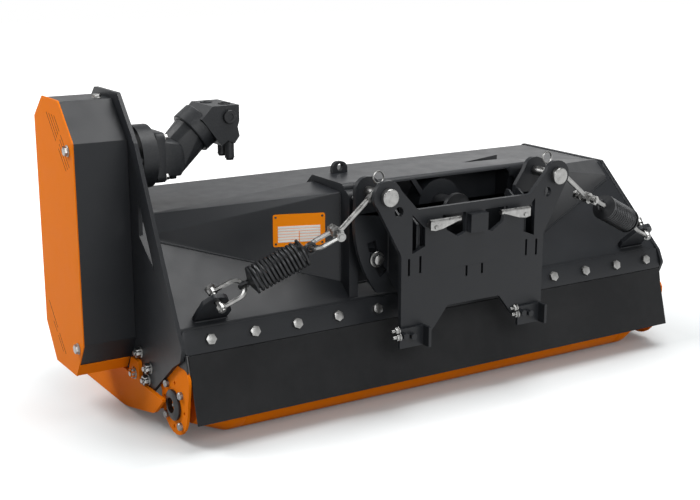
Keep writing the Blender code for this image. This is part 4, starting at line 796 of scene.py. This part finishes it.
def plateGrid():  # the data plate's face, from the shoulder's corners
    sheet = dataPlate["sheet"]
    x, y, above = sheet["foot"]
    foot = Vector((x, y, deckHeight(y) + above))
    near, far = Vector(sheet["near"]), Vector(sheet["far"])
    rise = (near - foot).normalized()
    out = (far - near).cross(rise).normalized()
    out = out if out.y < 0 else -out
    middle = foot.lerp(near, sheet["up"]) + (far - near) * sheet["along"] + out * sheet["lift"]
    turned = Matrix((rise.cross(out), rise, out)).transposed().to_4x4()
    return Matrix.Translation(place(*middle)) @ turned, out


def makePlateFields():
    look, (grid, out) = dataPlate, plateGrid()
    work = bmesh.new()
    top, bottom = look["high"] / 2 - look["band"], -look["high"] / 2 + look["sill"]
    step = (top - bottom) / look["rows"]
    left, right = -look["wide"] / 2 + look["edge"], look["wide"] / 2 - look["edge"]
    split = left + (right - left) * look["column"]
    between, under = look["lines"]
    for i in range(look["rows"]):
        v = bottom + step * (i + 0.5)
        halves = ((left, split - between / 2), (split + between / 2, right))
        for a, b in ((left, right),) if i >= look["rows"] - look["whole"] else halves:
            spot = grid @ Matrix.Translation(((a + b) / 2, v, look["field"] / 2))
            slab(work, (b - a, step - under, look["field"]), spot, look["fieldEdge"])
    piece("labelFields", work, "labelWhite", "hood")
    work = bmesh.new()
    across, up = look["rivets"]
    for a in (-1, 1):
        for b in (-1, 1):
            turn(work, look["rivet"], out, grid @ Vector((a * across, b * up, 0)), 16)
    piece("labelRivets", work, "springSteel", "hood")


makePlateFields()
print("data plate filled in")


# welds and small fittings

seams = {
    "shoulders": {"out": (0.289, 0.720), "y": (0.045, 0.1895), "fillet": 0.0030},
    "corners": {"x": 0.2883, "foot": (0.0410, 0.002), "top": (0.0405, 0.535), "fillet": 0.0022},
    "lugs": {"y": 0.0142, "edges": (-0.0065, 0.0065), "lean": 0.75, "out": (0.615, 0.699), "fillet": 0.0026},
    "beamFront": {"half": 0.285, "y": 0.034, "fillet": 0.0032},
    "beamBack": {"half": 0.284, "y": 0.262, "h": 0.4885, "fillet": 0.0030},
    "shoulderBacks": {"out": (0.290, 0.718), "y": 0.262, "h": 0.4885, "fillet": 0.0026},
    "sides": {"x": 0.740, "slope": (0.012, 0.230), "roof": (0.255, 0.590), "h": 0.488, "fillet": 0.0026},
    "ribs": {"places": (-0.195, -0.163, 0.163, 0.195), "edge": 0.0038, "fillet": 0.0018,
             "runs": ((-0.1075, 0.312, 0.468), (-0.0345, 0.340, 0.505))},
}


def onDeck(x, y, lift=0.0):
    return place(x, y, deckHeight(y) + lift)


def makeWelds():
    work = bmesh.new()
    for side in (-1, 1):
        look = seams["shoulders"]
        ends = [onDeck(side * x, y) for x, y in zip(look["out"], look["y"])]
        weldBead(work, *ends, look["fillet"])
        look = seams["corners"]
        x = side * look["x"]
        weldBead(work, onDeck(x, *look["foot"]), place(x, *look["top"]), look["fillet"])
        look = seams["lugs"]
        for edge in look["edges"]:
            y = look["y"] + edge * look["lean"]
            weldBead(work, *(onDeck(side * x, y) for x in look["out"]), look["fillet"])
    look = seams["beamFront"]
    weldBead(work, *(onDeck(x, look["y"]) for x in (-look["half"], look["half"])), look["fillet"])
    look = seams["beamBack"]
    weldBead(work, *(place(x, look["y"], look["h"]) for x in (-look["half"], look["half"])), look["fillet"])
    for side in (-1, 1):
        look = seams["shoulderBacks"]
        weldBead(work, *(place(side * x, look["y"], look["h"]) for x in look["out"]), look["fillet"])
        look = seams["sides"]
        x = side * look["x"]
        weldBead(work, *(onDeck(x, y) for y in look["slope"]), look["fillet"])
        weldBead(work, *(place(x, y, look["h"]) for y in look["roof"]), look["fillet"])
    piece("hoodWelds", work, "blackPaint", "hood", 60)
    work = bmesh.new()
    look = seams["ribs"]
    for x in look["places"]:
        for dx in (-look["edge"], look["edge"]):
            for y, low, high in look["runs"]:
                weldBead(work, place(x + dx, y, low), place(x + dx, y, high), look["fillet"])
    piece("hitchWelds", work, "blackPaint", "hitch", 60)


nipples = {"spots": ((-0.2745, 0.0035, 0.530), (0.0, -0.0466, 0.480)),
           "shape": [(0, 0.0100), (0.0022, 0.0095), (0.0030, 0.0080), (0.0022, 0.0065), (0.0040, 0.0050),
                     (0.0048, 0.0040), (0.0048, -0.001), (0, -0.001)]}
cornerTab = {"x": 0.7388, "thick": 0.003,
             "outline": ((0.034, 0.214), (-0.0249, 0.2191), (-0.0326, 0.1771), (0.034, 0.1796))}


def makeSmallFittings():
    work = bmesh.new()
    for spot in nipples["spots"]:
        turn(work, nipples["shape"], (0, -1, 0), place(*spot), 20)
    piece("greaseNipples", work, "zinc", "hood")
    work = bmesh.new()
    for side in (-1, 1):  # the tab that closes the corner above the roller bracket
        x = side * cornerTab["x"]
        tab = work.faces.new([work.verts.new(place(x, y, h)) for y, h in cornerTab["outline"]])
        deep = bmesh.ops.extrude_face_region(work, geom=[tab])["geom"]
        moved = [v for v in deep if isinstance(v, bmesh.types.BMVert)]
        bmesh.ops.translate(work, vec=(-side * cornerTab["thick"], 0, 0), verts=moved)
    piece("cornerTabs", work, "blackPaint", "hood")


makeWelds()
makeSmallFittings()
print("welds and fittings laid")


# floor, light and camera

studio = {
    "level": -0.3012, "half": 14, "floor": (0.655, 0.680, 0.686), "bounce": (0.36, 0.36, 0.36),
    "rough": 0.9, "specular": 0.1, "glow": 1.45, "share": 0.05,
    "clear": (0.92, 1.65), "ahead": (0.06, -0.30),  # where the floor turns white
    "sky": (0.06, 0.60), "brim": (0.30, 0.62), "ceiling": 0.14,
    "card": {"edge": 0.60, "soft": 5.5, "far": 0.5, "farSoft": 5, "grey": 0.88},
}
lamps = {
    "overhead": {"at": (0.7, 0.0, 3.3), "aim": (0, 0.3, 0), "size": (2.6, 2.0), "power": 112},
    "left": {"at": (-3.0, 2.4, 2.9), "aim": (-0.3, 0.4, 0), "size": (1.8, 1.8), "power": 128},
    "front": {"at": (-0.8, -4.2, 2.6), "aim": (0, 0.2, 0), "size": (2.2, 2.2), "power": 80},
    "back": {"at": (1.3, 3.9, 1.6), "aim": (0, 0.3, 0.2), "size": (5.0, 1.4), "power": 24},
}


def rayKinds(paint):  # 1 on the rays of each kind that shows the backdrop
    kinds = ("Is Camera Ray", "Is Glossy Ray", "Is Transmission Ray")
    return [paint.node("ShaderNodeLightPath", output=kind) for kind in kinds]


def makeFloor():
    work = bmesh.new()
    level = Matrix.Translation((0, 0, studio["level"]))
    bmesh.ops.create_grid(work, x_segments=1, y_segments=1, size=studio["half"], matrix=level)
    mesh = bpy.data.meshes.new("studioFloor")
    work.to_mesh(mesh)
    work.free()
    floor = bpy.data.objects.new("studioFloor", mesh)
    bpy.context.scene.collection.objects.link(floor)
    paint = Finish("studioFloor")
    camera, glossy, clear = rayKinds(paint)
    seen = (camera + glossy + clear).held()
    paint.set({"Base Color": paint.blend(seen, studio["bounce"], studio["floor"])})
    paint.set({"Roughness": studio["rough"], "Specular IOR Level": studio["specular"]})
    glow = paint.node("ShaderNodeEmission", None, {"Color": (1, 1, 1, 1), "Strength": studio["glow"]})
    spot = paint.node("ShaderNodeTexCoord", output="Object")
    reach = paint.node("ShaderNodeVectorMath", {"operation": "LENGTH"}, {0: spot}, "Value")
    fade = (span(reach, *studio["clear"]) + span(paint.part(spot, 1), *studio["ahead"])).held()
    fade = fade * (1 - studio["share"]) + studio["share"]
    surface = Value(paint, paint.shader.outputs[0])
    mixed = paint.node("ShaderNodeMixShader", None, {0: seen * fade, 1: surface, 2: glow})
    under = paint.node("ShaderNodeNewGeometry", output="Backfacing")  # the floor is clear from below
    through = paint.node("ShaderNodeBsdfTransparent")
    mixed = paint.node("ShaderNodeMixShader", None, {0: under, 1: mixed, 2: through})
    paint.tree.links.new(mixed.socket, paint.tree.nodes["Material Output"].inputs["Surface"])
    mesh.materials.append(paint.material)


def makeSky():  # glossy rays see a white backdrop, a dark ceiling and a grey card at the far left
    world = bpy.data.worlds.new("studioSky")
    bpy.context.scene.world = world
    sky = Finish("studioSky", world)
    way = sky.node("ShaderNodeTexCoord", output="Generated")
    along, away, up = (sky.part(way, axis) for axis in range(3))
    card = studio["card"]
    grey = ((card["edge"] - along) * card["soft"]).held() * ((away - card["far"]) * card["farSoft"]).held()
    shone = (1 - span(up, *studio["brim"]) * (1 - studio["ceiling"])) * (1 - grey * card["grey"])
    dim, bright = studio["sky"]
    lit = up.held() * (bright - dim) + dim
    camera, glossy, clear = rayKinds(sky)
    unseen = 1 - (camera + glossy + clear).held()
    sky.set({"Color": (1, 1, 1, 1), "Strength": camera + glossy * shone + clear + lit * unseen})


def makeLamps():
    for name, lamp in lamps.items():
        data = bpy.data.lights.new(name + "Lamp", "AREA")
        data.shape = "RECTANGLE"
        data.energy, data.size, data.size_y = lamp["power"], *lamp["size"]
        made = bpy.data.objects.new(name + "Lamp", data)
        at = Vector(lamp["at"])
        aimed = (Vector(lamp["aim"]) - at).to_track_quat("-Z", "Y").to_matrix().to_4x4()
        made.matrix_world = Matrix.Translation(at) @ aimed
        bpy.context.scene.collection.objects.link(made)


photoCamera = {"lens": 64.28, "sensor": 36.0, "far": 60, "at": (-1.8357, -2.368, 0.8445),
               "heading": 58.098, "dip": 14.197}  # degrees round from the x axis, and down


def makeCamera():
    data = bpy.data.cameras.new("photoCamera")
    data.lens, data.sensor_width = photoCamera["lens"], photoCamera["sensor"]
    data.clip_end = photoCamera["far"]
    camera = bpy.data.objects.new("photoCamera", data)
    lowered = math.radians(90 - photoCamera["dip"])
    turned = math.radians(photoCamera["heading"] - 90)
    camera.location, camera.rotation_euler = photoCamera["at"], (lowered, 0, turned)
    bpy.context.scene.collection.objects.link(camera)
    bpy.context.scene.camera = camera


makeFloor()
makeSky()
makeLamps()
makeCamera()
bpy.context.scene.view_settings.view_transform = "Standard"
print("studio set")
